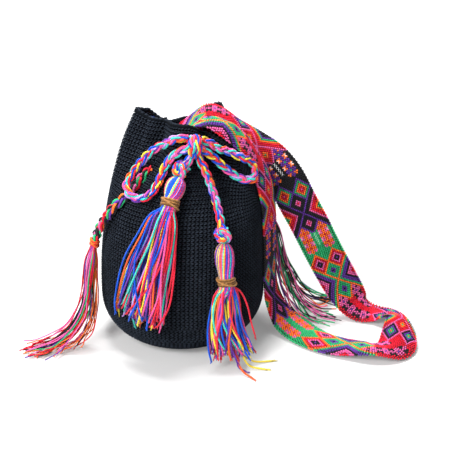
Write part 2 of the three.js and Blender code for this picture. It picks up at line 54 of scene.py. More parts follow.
GATHER_DEPTH = 0.115
GATHER_BAND = 0.024
LEAN = 0.006
LEAN_START = 0.060
LEAN_FULL = 0.240
# Angle from +X in degrees, share of the mouth's radius, drop of the rim
MOUTH_FOLDS = np.array([
    (18, 0.51, 0.043),
    (45, 1.00, 0.001),
    (82, 0.51, 0.016),
    (112, 0.83, 0.027),
    (147, 0.49, 0.014),
    (166, 0.80, 0.000),
    (183, 1.02, -0.004),
    (203, 0.74, 0.003),
    (222, 0.49, 0.006),
    (272, 0.86, 0.003),
    (312, 0.53, 0.018),
    (334, 0.84, 0.031),
    (352, 0.99, 0.059),
])
BASE_FLAT = BODY_RADIUS - CORNER_RADIUS
CORNER_ARC = CORNER_RADIUS * math.pi / 2
SIDE_LENGTH = BASE_FLAT + CORNER_ARC + BAG_HEIGHT - CORNER_RADIUS


def smooth(t):
    t = np.clip(t, 0, 1)
    return t * t * (3 - 2 * t)


def unit(vectors):
    return vectors / np.linalg.norm(vectors, axis=-1, keepdims=True)


def mouth_fold(angle):
    """Share of the mouth's radius and drop of the rim at angles in radians."""
    stops = np.vstack([MOUTH_FOLDS, MOUTH_FOLDS[0] + (360, 0, 0)])
    turn = (np.degrees(angle) - stops[0, 0]) % 360 + stops[0, 0]
    after = np.clip(np.searchsorted(stops[:, 0], turn), 1, len(stops) - 1)
    before = after - 1
    t = (turn - stops[before, 0]) / (stops[after, 0] - stops[before, 0])
    ease = (1 - np.cos(np.pi * t)) / 2
    share, drop = (stops[before, c] + (stops[after, c] - stops[before, c]) * ease for c in (1, 2))
    return share, drop


def round_radius(height):
    rise = np.clip(CORNER_RADIUS - height, 0, CORNER_RADIUS)
    corner = BASE_FLAT + np.sqrt(CORNER_RADIUS ** 2 - rise ** 2)
    t = np.clip((height - CORNER_RADIUS) / (BAG_HEIGHT - CORNER_RADIUS), 0, None)
    shoulder = BODY_RADIUS - (BODY_RADIUS - MOUTH_RADIUS) * t ** SHOULDER_POWER
    return np.where(height < CORNER_RADIUS, corner, shoulder)


def lean_at(height):
    return LEAN * smooth((height - LEAN_START) / (LEAN_FULL - LEAN_START))


def round_height(angle, height):
    """Height of a crochet round that would lie at the given height on an upright bag."""
    above = np.maximum(0, height - (BAG_HEIGHT - GATHER_DEPTH))
    return height - above * mouth_fold(angle)[1] / GATHER_DEPTH


def wall_radius(angle, height):
    drawn = smooth((height - (BAG_HEIGHT - GATHER_DEPTH)) / (GATHER_DEPTH - GATHER_BAND))
    return round_radius(round_height(angle, height)) * (1 + (mouth_fold(angle)[0] - 1) * drawn)


def skin(angle, reach):
    """Points of the bag's outside, by angle in radians and distance up its side from the base's middle."""
    turn = np.clip((reach - BASE_FLAT) / CORNER_RADIUS, 0, math.pi / 2)
    height = CORNER_RADIUS * (1 - np.cos(turn)) + np.maximum(0, reach - BASE_FLAT - CORNER_ARC)
    radius = np.where(reach < BASE_FLAT, reach, wall_radius(angle, height))
    z = round_height(angle, height)
    return np.stack([radius * np.cos(angle) + lean_at(z), radius * np.sin(angle), z], -1)


def skin_frame(angle, reach):
    """Outward normal, direction along the round and direction up the side."""
    turn, rise = 1e-3, 2e-4
    along = skin(angle + turn, reach) - skin(angle - turn, reach)
    up = skin(angle, reach + rise) - skin(angle, reach - rise)
    return unit(np.cross(along, up)), unit(along), unit(up)


def beside_bag(angle_degrees, drop, lift):
    """Point on a line out from the bag's axis, so far below the rim and so far outside the wall."""
    angle = math.radians(angle_degrees)
    height = BAG_HEIGHT - drop
    radius = wall_radius(angle, height) + lift
    z = round_height(angle, height)
    return np.array([radius * math.cos(angle) + lean_at(z), radius * math.sin(angle), z], float)


# Drawstring
# One cord, a flat braid of three strands with four soft yarns each. It runs in and out of the wall under the
# rim and is tied at the front in a bow, and each end is stopped by a knot.
CORD = 0.0105
BRAID_PITCH = 0.032
BRAID_DEPTH = 0.62  # how far strands pass over each other, as a share of their swing to the sides
STRAND_SPREAD = 1.4  # distance of a strand's yarns from its middle, in radii of a yarn
STRAND_TURN = 2.6  # pitches of the braid to a turn of a strand's yarns
YARN_RADIUS = 0.00125
YARN_SIDES = 6
CORD_STEP = 0.0016  # between the points of a cord's line
DRAWSTRING_DROP = 0.016
RUN_SHARE = 0.645
RUN_TUCK_ANGLE = 222  # the cord stays inside the front left crease
RUN_TUCK_REACH = 50
RUN_TUCK_SHARE = 0.32
RUN_GAP = 58
RUN_MIDDLE = 453
RUN_POINTS = 30
BOW_ANGLE = 281
BOW_KNOT_DEPTH = 0.016
BOW_KNOT_LIFT = 0.004
BOW_KNOT_RISE = -0.003
EYELET_TURN = 6.5
EYELET_SWING = 4
EYELET_DEPTH = 0.0085
CORD_BITE = 0.002
MILLIMETRE = 0.001
# Angle in degrees, drop below the rim and lift off the wall in millimetres
LEFT_LOOP = [
    (275, 11, 14), (264, 11.5, 15), (252, 19, 15), (239, 27, 24), (230, 40, 30), (224, 54, 29), (224, 67, 28),
    (231, 76, 24), (239, 79, 16), (244.5, 74, 10), (249, 60, 9), (253.5, 44, 9), (261, 31, 12), (273, 22, 14),
]
RIGHT_LOOP = [
    (287, 9.5, 18), (296, 9.5, 24), (305, 15, 29), (315, 19, 30), (325, 22, 25), (333, 26, 19),
    (336.5, 35, 19), (336, 46, 17), (331.5, 53.5, 16), (323, 54, 17.5), (316, 47, 22), (308, 36.5, 25),
    (299, 27, 23), (287.5, 21, 17),
]
LEFT_END = [(277, 31, 12), (273, 37.5, 12.5), (268.3, 45, 10.5)]
RIGHT_END = [
    (284.2, 32, 13), (287.6, 40, 14.5), (291, 50, 13), (294, 66, 11), (295.5, 80, 9), (296, 96, 8),
    (296.3, 106, 8), (296.5, 118, 10),
]
FIBRE_SCALE = 900.0  # noise for single fibres
FIBRE_DETAIL = 3.0
PATCH_SCALE = 60.0  # noise for patches of uneven dye
DYE_RANGE = (0.7, 1.3)  # sums of the two noises that give the darkest and the palest dye
DYE_SHARES = (0.72, 1.2)  # darkest and palest share of a tint
PLY_SLANT = 0.22  # turns of a ply for each thickness along a yarn
PLY_STRENGTH = 0.7
FUZZ_STRENGTH = 0.6
SHEEN_ROUGHNESS = 0.5


def dye(red, green, blue):
    """A colour given as display values from 0 to 255, as linear light."""
    share = np.array([red, green, blue]) / 255
    return np.where(share <= 0.04045, share / 12.92, ((share + 0.055) / 1.055) ** 2.4)


RED = dye(236, 34, 62)
PINK = dye(244, 88, 160)
TURQUOISE = dye(62, 205, 190)
BLUE = dye(8, 84, 214)
YELLOW = dye(248, 224, 66)
PURPLE = dye(108, 54, 166)
LILAC = dye(200, 152, 232)
ORANGE = dye(248, 100, 46)
BRAID_STRANDS = [(PINK, BLUE, RED, TURQUOISE), (ORANGE, YELLOW, PURPLE, PINK), (RED, BLUE, LILAC, TURQUOISE)]


def curve(points, per_span=12):
    """A centripetal spline through the points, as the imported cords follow."""
    points = np.asarray(points, float)
    padded = np.vstack([2 * points[0] - points[1], points, 2 * points[-1] - points[-2]])
    t = np.linspace(0, 1, per_span, endpoint=False)[:, None]
    spans = []
    for p0, p1, p2, p3 in zip(padded[:-3], padded[1:-2], padded[2:-1], padded[3:]):
        d0, d1, d2 = (max(1e-6, np.linalg.norm(b - a) ** 0.5) for a, b in ((p0, p1), (p1, p2), (p2, p3)))
        m1 = ((p1 - p0) / d0 - (p2 - p0) / (d0 + d1) + (p2 - p1) / d1) * d1
        m2 = ((p2 - p1) / d1 - (p3 - p1) / (d1 + d2) + (p3 - p2) / d2) * d1
        c2 = 3 * (p2 - p1) - 2 * m1 - m2
        c3 = 2 * (p1 - p2) + m1 + m2
        spans.append(p1 + m1 * t + c2 * t ** 2 + c3 * t ** 3)
    return np.vstack([*spans, points[-1:]])


def run_along(points):
    """Distance of each point from the first, along the line."""
    return np.concatenate([[0], np.cumsum(np.linalg.norm(np.diff(points, axis=0), axis=1))])


def evenly(points, step):
    """The same line with points at even distances along it."""
    run = run_along(points)
    count = max(2, round(run[-1] / step))
    stops = np.linspace(0, run[-1], count + 1)
    return np.stack([np.interp(stops, run, points[:, axis]) for axis in range(3)], -1)


def away_from_bag(points):
    return unit(points * (1, 1, 0))


def square_to(vectors, along):
    """Unit vectors square to the directions of a line, on the side that the given vectors show."""
    return unit(vectors - along * (vectors * along).sum(-1, keepdims=True))


def beside(line, across, x, out, y):
    """The line with each point moved sideways by x and outwards by y."""
    return line + across * x[:, None] + out * y[:, None]


def braid(line, width, pitch, radius, strands, facing, phase=0.0):
    """Yarns of a flat braid along a line: strands that pass over each other, each twisted from its yarns."""
    along = unit(np.gradient(line, axis=0))
    out = square_to(facing(line), along)
    across = np.cross(along, out)
    run = run_along(line)
    spread = radius * STRAND_SPREAD
    swing = width / 2 - spread - radius
    yarns = []
    for number, tints in enumerate(strands):
        turn = 2 * math.pi * (run / pitch + number / len(strands)) + phase
        sideways = swing * np.sin(turn)
        depth = BRAID_DEPTH * swing * np.sin(2 * turn)
        for place, tint in enumerate(tints):
            twist = 2 * math.pi * (run / (STRAND_TURN * pitch) + place / len(tints)) + number
            x = sideways + spread * np.cos(twist)
            y = depth + spread * np.sin(twist)
            yarns.append((beside(line, across, x, out, y), radius, tint))
    return yarns


def run_point(angle_degrees):
    angle = math.radians(angle_degrees)
    z = round_height(angle, BAG_HEIGHT - DRAWSTRING_DROP)
    away = abs((angle_degrees - RUN_TUCK_ANGLE + 180) % 360 - 180)
    share = RUN_TUCK_SHARE + (RUN_SHARE - RUN_TUCK_SHARE) * smooth(away / RUN_TUCK_REACH)
    radius = share * round_radius(z)
    return np.array([radius * math.cos(angle) + lean_at(z), radius * math.sin(angle), z], float)


def through_eyelet(side):
    return [
        beside_bag(BOW_ANGLE + side * EYELET_TURN, DRAWSTRING_DROP, BOW_KNOT_LIFT + CORD_BITE),
        beside_bag(BOW_ANGLE + side * EYELET_TURN, DRAWSTRING_DROP, 0),
        beside_bag(BOW_ANGLE + side * (EYELET_TURN + EYELET_SWING), DRAWSTRING_DROP, -EYELET_DEPTH),
    ]


def on_bag(route):
    return np.array([beside_bag(angle, drop * MILLIMETRE, lift * MILLIMETRE) for angle, drop, lift in route])


def add_node(tree, kind, inputs=None, **settings):
    """A new node. An input is a value or the output that is linked to it."""
    made = tree.nodes.new(kind)
    for key, value in settings.items():
        setattr(made, key, value)
    for key, value in (inputs or {}).items():
        if isinstance(value, bpy.types.NodeSocket):
            tree.links.new(value, made.inputs[key])
        else:
            made.inputs[key].default_value = value
    return made


def fibre_material(name, roughness, gloss, sheen, plies, ply_rise, fuzz_rise):
    """Dyed yarn: its own tint with uneven dye, and twisted plies that follow the yarn's UV map."""
    material = bpy.data.materials.new(name)
    material.use_nodes = True
    tree = material.node_tree
    shader = tree.nodes["Principled BSDF"]
    for socket, value in (("Roughness", roughness), ("Specular IOR Level", gloss), ("Sheen Weight", sheen),
                          ("Sheen Roughness", SHEEN_ROUGHNESS)):
        shader.inputs[socket].default_value = value
    places = add_node(tree, "ShaderNodeTexCoord").outputs
    tint = add_node(tree, "ShaderNodeAttribute", attribute_name="tint")
    fine = add_node(tree, "ShaderNodeTexNoise",
                    {"Vector": places["Object"], "Scale": FIBRE_SCALE, "Detail": FIBRE_DETAIL})
    fibres = fine.outputs["Fac"]
    patches = add_node(tree, "ShaderNodeTexNoise", {"Vector": places["Object"], "Scale": PATCH_SCALE})
    uneven = add_node(tree, "ShaderNodeMath", {0: fibres, 1: patches.outputs["Fac"]}, operation="ADD")
    shade = add_node(tree, "ShaderNodeMapRange",
                     {"Value": uneven.outputs[0], "From Min": DYE_RANGE[0], "From Max": DYE_RANGE[1],
                      "To Min": DYE_SHARES[0], "To Max": DYE_SHARES[1]})
    colour = add_node(tree, "ShaderNodeVectorMath", {0: tint.outputs["Color"], 1: shade.outputs["Result"]},
                      operation="MULTIPLY")
    tree.links.new(colour.outputs["Vector"], shader.inputs["Base Color"])
    twist = add_node(tree, "ShaderNodeVectorMath", {0: places["UV"], 1: (plies, PLY_SLANT * plies, 0)},
                     operation="DOT_PRODUCT")
    turns = add_node(tree, "ShaderNodeMath", {0: twist.outputs["Value"], 1: 2 * math.pi},
                     operation="MULTIPLY")
    ridge = add_node(tree, "ShaderNodeMath", {0: turns.outputs[0]}, operation="SINE")
    fuzz = add_node(tree, "ShaderNodeBump",
                    {"Height": fibres, "Distance": fuzz_rise, "Strength": FUZZ_STRENGTH})
    bump = add_node(tree, "ShaderNodeBump",
                    {"Height": ridge.outputs[0], "Distance": ply_rise, "Strength": PLY_STRENGTH,
                     "Normal": fuzz.outputs["Normal"]})
    tree.links.new(bump.outputs["Normal"], shader.inputs["Normal"])
    return material


def tint_points(mesh, tints):
    """Writes one tint for each vertex."""
    rgba = np.ones((len(tints), 4), np.float32)
    rgba[:, :3] = tints
    attribute = mesh.attributes.new("tint", "FLOAT_COLOR", "POINT")
    attribute.data.foreach_set("color", rgba.ravel())


def show(name, mesh, material, slot, *nodes):
    """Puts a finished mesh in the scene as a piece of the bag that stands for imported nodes."""
    piece = bpy.data.objects.new(name, mesh)
    bpy.context.scene.collection.objects.link(piece)
    if not mesh.materials:
        mesh.materials.append(material)
    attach(piece, "root")
    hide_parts(*nodes)
    return piece


def new_mesh(name, verts, faces):
    mesh = bpy.data.meshes.new(name)
    mesh.from_pydata(np.asarray(verts).tolist(), [], faces, shade_flat=False)
    return mesh


def tube_faces(rings, sides):
    """Quads between rings of points that follow each other along a tube."""
    ring = np.arange(sides)
    following = (ring + 1) % sides
    row = sides * np.arange(rings - 1)[:, None]
    quads = np.stack([row + ring, row + following, row + sides + following, row + sides + ring], -1)
    return quads.reshape(-1, 4)


def yarn_mesh(name, yarns, sides=YARN_SIDES):
    """One mesh of round yarns, each given as its points, its radius at each point and its tint."""
    verts, faces, caps, uvs, tints = [], [], [], [], []
    start = 0
    ring = np.arange(sides)
    turn = 2 * math.pi * ring / sides
    for points, radii, tint in yarns:
        points = np.asarray(points)
        count = len(points)
        radii = np.broadcast_to(radii, count)
        along = unit(np.gradient(points, axis=0))
        normal = np.zeros_like(points)
        previous = np.eye(3)[np.argmin(np.abs(along[0]))]
        for i in range(count):
            previous = square_to(previous, along[i])
            normal[i] = previous
        across = np.cross(along, normal)
        circle = normal[:, None] * np.cos(turn)[:, None] + across[:, None] * np.sin(turn)[:, None]
        verts.append((points[:, None] + circle * radii[:, None, None]).reshape(-1, 3))
        tints.append(np.tile(tint, (count * sides, 1)))
        faces.append(start + tube_faces(count, sides))
        run = run_along(points) / (2 * radii.mean())
        u0 = np.broadcast_to(ring / sides, (count - 1, sides))
        v0, v1 = (np.broadcast_to(part[:, None], u0.shape) for part in (run[:-1], run[1:]))
        uvs.append(np.stack([u0, v0, u0 + 1 / sides, v0, u0 + 1 / sides, v1, u0, v1], -1).reshape(-1))
        caps += [(start + ring[::-1]).tolist(), (start + sides * (count - 1) + ring).tolist()]
        start += count * sides
    mesh = new_mesh(name, np.concatenate(verts), np.concatenate(faces).tolist() + caps)
    layer = mesh.uv_layers.new(name="UVMap")
    flat_uv = np.concatenate([*uvs, np.zeros(2 * sides * len(caps))])
    layer.data.foreach_set("uv", flat_uv.astype(np.float32))
    tint_points(mesh, np.concatenate(tints))
    return mesh


bow_middle = beside_bag(BOW_ANGLE, DRAWSTRING_DROP - BOW_KNOT_RISE, BOW_KNOT_DEPTH / 2 + BOW_KNOT_LIFT)
even_run = [run_point(RUN_MIDDLE + (360 - RUN_GAP) * (i / (RUN_POINTS - 1) - 0.5)) for i in range(RUN_POINTS)]
drawstring_line = evenly(curve(through_eyelet(1) + even_run + through_eyelet(-1)[::-1]), CORD_STEP)
yarn = fibre_material("soft_yarn", roughness=0.85, gloss=0.12, sheen=0.15, plies=3, ply_rise=0.0004,
                      fuzz_rise=0.00015)
run_braid = braid(drawstring_line, CORD, BRAID_PITCH, YARN_RADIUS, BRAID_STRANDS, away_from_bag)
show("drawstring_run_braid", yarn_mesh("drawstring_run_braid", run_braid), yarn, "yarn", "drawstring_run")

# Each loop runs on through the knot to the end on the other side
for side, loop, other, end, phase in (
    ("left", LEFT_LOOP, "right", RIGHT_END, 0.4),
    ("right", RIGHT_LOOP, "left", LEFT_END, 2.1),
):
    line = evenly(curve(np.vstack([on_bag(loop), bow_middle, on_bag(end)])), CORD_STEP)
    name = f"bow_{side}_braid"
    yarns = braid(line, CORD, BRAID_PITCH, YARN_RADIUS, BRAID_STRANDS, away_from_bag, phase)
    piece = show(name, yarn_mesh(name, yarns), yarn, "yarn", f"bow_loop_{side}", f"drawstring_end_{other}")

# Knots
# The bow is held by a turn of the same braid over its middle. Each end of the cord is tied in a
# round overhand knot, which keeps the tassel on.
BOW_WRAP_TURNS = 1.9
BOW_WRAP_START = -0.15  # turns before the wrap's front
BOW_WRAP_POINTS = 60
BOW_WRAP_STEP = 0.0014
BOW_WRAP_DEPTH = 0.0080  # reach of the wrap's middle line out from the bow's middle
BOW_WRAP_RISE = 0.0100
BOW_WRAP_SAG = 0.001
BOW_WRAP_SHIFT = 0.0105  # sideways over the whole wrap
BOW_WRAP_CENTRE = 0.4  # share of the wrap at which it crosses the bow's middle
STOPPER_REACH = 0.0023  # size of the knot's three-leaved line, sideways and along the cord
STOPPER_RISE = 0.0060
STOPPER_WIDTH = 0.0076
STOPPER_PITCH = 0.022
STOPPER_YARN = 0.00125
STOPPER_POINTS = 120
STOPPER_STEP = 0.0013
up = np.array([0.0, 0.0, 1.0])


def from_middle(middle, *parts):
    """Points of a line, by their distances from a middle along some directions."""
    return middle + sum(np.outer(distance, direction) for distance, direction in parts)


bow_out = away_from_bag(bow_middle)
wrapped = np.linspace(BOW_WRAP_START, BOW_WRAP_TURNS + BOW_WRAP_START, BOW_WRAP_POINTS)
wrap_line = from_middle(bow_middle - BOW_WRAP_SAG * up,
                        (BOW_WRAP_DEPTH * np.cos(2 * math.pi * wrapped), bow_out),
                        (BOW_WRAP_RISE * np.sin(2 * math.pi * wrapped), up),
                        (BOW_WRAP_SHIFT * (wrapped / BOW_WRAP_TURNS - BOW_WRAP_CENTRE),
                         np.cross(up, bow_out)))
wrap = braid(evenly(wrap_line, BOW_WRAP_STEP), CORD, BRAID_PITCH, YARN_RADIUS, BRAID_STRANDS,
             lambda points: points - bow_middle, phase=1.0)
show("bow_wrap", yarn_mesh("bow_wrap", wrap), yarn, "yarn", "bow_knot")

for side, end in (("left", LEFT_END), ("right", RIGHT_END)):
    before, knot_middle = on_bag(end)[-2:]
    down = unit(knot_middle - before)
    out = square_to(away_from_bag(knot_middle), down)
    turn = np.linspace(0, 2 * math.pi, STOPPER_POINTS)
    reach = STOPPER_REACH * (2 + np.cos(3 * turn))
    line = from_middle(knot_middle, (reach * np.cos(2 * turn), np.cross(down, out)),
                       (reach * np.sin(2 * turn), out), (STOPPER_RISE * np.sin(3 * turn), down))
    yarns = braid(evenly(line, STOPPER_STEP), STOPPER_WIDTH, STOPPER_PITCH, STOPPER_YARN, BRAID_STRANDS,
                  lambda points, middle=knot_middle: points - middle)
    name = f"stopper_{side}"
    show(name, yarn_mesh(name, yarns), yarn, "yarn", f"stopper_knot_{side}")

# Tassels
# A hank of yarn is folded over the cord's knot, tied below the fold with waxed twine, and its ends
# are cut to hang as a loose skirt.
TASSEL_YARN = 0.00115
TASSEL_STEP = 0.004  # between the points of a yarn
YARN_SPAN = 8  # points of a yarn's curve from station to station
TASSEL_OUTER = 50  # yarns that show on the head
TASSEL_INNER = 66  # yarns that only fill the skirt
LEFT_COLOURS = [RED, BLUE, PINK, TURQUOISE, PURPLE, ORANGE, BLUE, PINK, YELLOW, LILAC, RED, PURPLE]
RIGHT_COLOURS = [RED, BLUE, PINK, PURPLE, RED, YELLOW, RED, BLUE, ORANGE, PINK, PURPLE, TURQUOISE]
COLOUR_STRIDE = 5  # places in the colours from one yarn to the next
TASSEL_NECK = 0.0085
TASSEL_FLATNESS = 0.84
BINDING_HEIGHT = 0.010
BINDING_TURNS = 3
TWINE_RADIUS = 0.0010
TWINE_POINTS = 22  # to a turn
TWINE_SWELL = 0.25  # unevenness of the winding, in radii of the twine
TWINE_BEAT = 0.37  # waves of that for each turn
SLANT_POINTS = 28  # of the turn that slants over the others
SLANT_REACH = 2.4  # outside the neck, in radii of the twine
SLANT_RISE = 0.36  # share of the binding's height
TWINES = [dye(160, 112, 60), dye(104, 68, 32)]
# Share of the way from the fold to the neck, radius in millimetres
TASSEL_HEAD = [(0.0, 1.5), (0.06, 6.0), (0.2, 9.4), (0.5, 10.2), (0.72, 8.4)]
HEAD_TWIST = 0.8  # turn of the yarns over the head
HEAD_START = 0.0088  # the fold begins this far below the stopper knot's middle
OUTER_SPREAD = (0.72, 1.06)  # shares of the skirt's half-width
INNER_SPREAD = (0, 0.9)
INNER_NECK = 0.55
STRAY = (0.1, 0.5)  # swing of some outer yarns out of the skirt
STRAY_STRIDE = 5  # outer yarns from one of them to the next
LOOSE_START = 0.2  # looseness of the yarns just below the neck
YARN_DRIFT = 0.5  # in radians round the skirt
YARN_WAVE = 0.3
YARN_BEAT = 5  # radians of that wave over the skirt
SWEEP_SHARES = (0.6, 0.5)  # of the sweep: its mean round the skirt and its swing to either side
YARN_WANDER = 0.0012
TRIM_SPREAD = 0.006
PLIES = 3
PLY_RADII = np.array([0.7, 0.6, 0.4])  # shares of the yarn's radius
PLY_BEND = (0.002, 0.0008)  # along and beside the yarn
PLY_LENGTH = (0.003, 0.006)
PLY_SPREAD = (0.001, 0.0025)
PLY_ROOT = 0.001  # inside the yarn's end
# Angle in degrees, drop below the rim, lift off the wall, half-width and half-depth in millimetres
LEFT_NECK = (262, 79, 14.5)
LEFT_SKIRT = [
    (259, 96, 13, 14, 10), (256.5, 120, 12.5, 18, 10), (252.5, 152, 12, 22, 9.5), (249, 185, 11.5, 25, 9),
    (246, 214, 12, 27, 8.5), (245, 226, 12.5, 26, 8),
]
RIGHT_NECK = (297.8, 171, 14.5)
RIGHT_SKIRT = [
    (298, 188, 13.5, 15, 10.5), (298.3, 206, 13.5, 19, 11), (298.5, 228, 14, 22, 11), (299, 250, 22, 24, 11),
    (299, 266, 38, 25, 10),
]
# Long yarns of the right tassel that trail over the floor to these places
RIGHT_TRAILS = [
    ((0.076, -0.113), PURPLE), ((0.084, -0.129), ORANGE), ((0.100, -0.108), YELLOW),
    ((0.108, -0.088), YELLOW),
]
TRAIL_HEIGHT = 0.006  # half-way to the place
TRAIL_START = (-0.6, 0.9)  # shares of the skirt's half-width at which a trail leaves it
twine = fibre_material("waxed_twine", roughness=0.6, gloss=0.2, sheen=0.1, plies=2, ply_rise=0.0003,
                       fuzz_rise=0.0001)


def winding(name, middle, along, inner_radius, height, turns, radius, tints):
    """Twines wound side by side round a neck, one for each tint, and one slanted turn over them."""
    side = unit(np.cross(along, (0.3, 0.9, 0.2)))
    front = np.cross(along, side)
    turn = np.linspace(0, 2 * math.pi * turns, turns * TWINE_POINTS)
    reach = inner_radius + radius * (1 + TWINE_SWELL * np.sin(turn * TWINE_BEAT))
    wound = []
    for number, tint in enumerate(tints):
        rise = (turn / (2 * math.pi) + number / len(tints)) / (turns + 1 - 1 / len(tints)) - 0.5
        line = from_middle(middle, (reach * np.cos(turn), side), (reach * np.sin(turn), front),
                           (height * rise, along))
        wound.append((line, radius, tint))
    slant = np.linspace(0, 2 * math.pi, SLANT_POINTS)
    reach = inner_radius + SLANT_REACH * radius
    line = from_middle(middle, (reach * np.cos(slant), side), (reach * np.sin(slant), front),
                       (SLANT_RISE * height * np.cos(slant), along))
    wound.append((line, radius, tints[0]))
    return yarn_mesh(name, wound)


def frayed(points, radius, tint, rng):
    """The cut end of a yarn, opened into a few of its plies."""
    tip = points[-1]
    along = unit(tip - points[-3])
    plies = []
    for _ in range(PLIES):
        spread = unit(rng.normal(size=3))
        bent = tip + along * PLY_BEND[0] + spread * PLY_BEND[1]
        end = tip + along * rng.uniform(*PLY_LENGTH) + spread * rng.uniform(*PLY_SPREAD)
        bent[2], end[2] = max(bent[2], radius), max(end[2], radius)
        plies.append((np.array([tip - along * PLY_ROOT, bent, end]), PLY_RADII * radius, tint))
    return plies


def tassel(knot_middle, neck, skirt, colours, trim, flare, sweep, bend, seed, trails):
    """Yarns of a tassel, from the fold over the knot through the tied neck to the cut ends."""
    rng = np.random.default_rng(seed)
    neck_middle = on_bag([neck])[0]
    down = neck_middle - knot_middle
    along = unit(down)
    start = HEAD_START / np.linalg.norm(down)
    half = BINDING_HEIGHT / 2 + TWINE_RADIUS
    fan = np.array(skirt)
    bulge = np.array([r for _, r in TASSEL_HEAD]) * MILLIMETRE
    tied = [TASSEL_NECK - TASSEL_YARN] * 2
    centres = np.vstack([[knot_middle + down * (start + (1 - start) * t) for t, _ in TASSEL_HEAD],
                         neck_middle - along * half, neck_middle + along * half, on_bag(fan[:, :3])])
    widths = np.concatenate([bulge, tied, fan[:, 3] * MILLIMETRE - TASSEL_YARN])
    depths = np.concatenate([bulge * TASSEL_FLATNESS, tied, fan[:, 4] * MILLIMETRE - TASSEL_YARN])
    directions = unit(np.gradient(centres, axis=0))
    out = square_to(away_from_bag(centres) + up, directions)
    across = np.cross(out, directions)
    head = len(TASSEL_HEAD) + 2
    loose = np.concatenate([np.zeros(head), np.linspace(LOOSE_START, 1, len(skirt))])
    head_twist = np.concatenate([np.linspace(-HEAD_TWIST, 0, head), np.zeros(len(skirt))])
    lines = []
    for number in range(TASSEL_OUTER + TASSEL_INNER):
        outer = number < TASSEL_OUTER
        turn = 2 * math.pi * (number / TASSEL_OUTER if outer else rng.uniform())
        stray = rng.uniform(*STRAY) if outer and number % STRAY_STRIDE == 0 else 0
        spread = rng.uniform(*(OUTER_SPREAD if outer else INNER_SPREAD)) + stray * np.sin(math.pi * loose)
        reach = np.where(loose > 0, spread * (1 + flare * loose), 1 if outer else INNER_NECK)
        drift = turn + head_twist + loose * rng.normal(0, YARN_DRIFT)
        drift = drift + YARN_WAVE * rng.normal() * np.sin(YARN_BEAT * loose)
        points = beside(centres, across, widths * reach * np.cos(drift), out, depths * reach * np.sin(drift))
        points[head:] += rng.normal(0, YARN_WANDER, (len(skirt), 3)) * loose[head:, None]
        swept = SWEEP_SHARES[0] + SWEEP_SHARES[1] * math.cos(turn)
        points += np.outer(np.clip((loose - bend) / (1 - bend), 0, 1), sweep) * swept
        points[:, 2] = np.maximum(points[:, 2], TASSEL_YARN)
        if not outer:
            points = points[head - 2:]
        tint = colours[(COLOUR_STRIDE * number + rng.integers(3)) % len(colours)]
        line = evenly(curve(points, YARN_SPAN), TASSEL_STEP)
        cut = round(max(0, rng.normal(trim, TRIM_SPREAD)) / TASSEL_STEP)
        line = line[:len(line) - cut]
        lines += [(line, TASSEL_YARN, tint), *frayed(line, TASSEL_YARN, tint, rng)]
    for (x, y), tint in trails:
        half_way = (centres[-1] + np.array([x, y, 0])) / 2
        points = [*centres[head - 1:-2], centres[-2] + across[-2] * rng.uniform(*TRAIL_START) * widths[-2],
                  np.array([half_way[0], half_way[1], TRAIL_HEIGHT]), np.array([x, y, TASSEL_YARN])]
        line = evenly(curve(points, YARN_SPAN), TASSEL_STEP)
        lines += [(line, TASSEL_YARN, tint), *frayed(line, TASSEL_YARN, tint, rng)]
    return lines, neck_middle, along


# Cord's end, neck, skirt, colours, trimmed length, flare, sweep of the ends and its start, seed, trails
for side, end, neck, *skirt_facts in (
    ("left", LEFT_END, LEFT_NECK, LEFT_SKIRT, LEFT_COLOURS, 0.020, 0.35, (-0.003, 0, 0), 0.1, 23, ()),
    ("right", RIGHT_END, RIGHT_NECK, RIGHT_SKIRT, RIGHT_COLOURS, 0.014, 0.05, (0.010, -0.004, 0), 0.65, 13,
     RIGHT_TRAILS),
):
    yarns, neck_middle, along = tassel(on_bag(end)[-1], neck, *skirt_facts)
    name = f"tassel_{side}_yarns"
    show(name, yarn_mesh(name, yarns), yarn, "yarn", f"tassel_{side}")
    name = f"twine_{side}"
    wound = winding(name, neck_middle, along, TASSEL_NECK, BINDING_HEIGHT, BINDING_TURNS, TWINE_RADIUS,
                    TWINES)
    show(name, wound, twine, "twine", f"tassel_binding_{side}")

# Strap
# A flat band of fine knots in six colours of waxed thread, from inside the mouth over the right side to
# the floor and back. Crosses with diamonds change with panels of two leaves, each repeat has its own
# order of the colours, and the second half mirrors the first.
STRAP_WIDTH = 0.046
STRAP_STEPS = 16  # steps of the knots' grid from the band's middle to its edge
STRAP_KNOT = (1.22, 0.00215, 0.0040)  # length in rows, width and depth of a knot
HOLE_KNOT = 1.25  # share of the width beside a panel's holes
EDGE_KNOT = 15.6  # column of the edge's knots in the rows that end a step short of it
KNOT_SHADES = (0.85, 1.15)  # darkest and palest share of a thread's tint
KNOT_SWAY = 0.25  # turn of a knot to either side, in radians
# Painted shade: share of a neighbouring knot's tint left on the ground, as the shade between the knots
CLOTH_PAINTED_SHADE = 0.14  # of the ground between the knots
FLATTEST_CURL = 0.001
STATION_POINTS = 24  # from one station to the next
# Distances along the band and the rows there, counted from the first cross outside the mouth
STRAP_ROWS = [(0.1654, 0), (0.3753, 112), (0.6080, 224), (0.9870, 392)]
SCARLET = dye(212, 16, 46)
TANGERINE = dye(250, 116, 44)
GREEN = dye(40, 172, 108)
VIOLET = dye(98, 50, 152)
BLACK = dye(22, 21, 27)
ROSE = dye(224, 96, 160)
SIDE = 99
RIM = 280
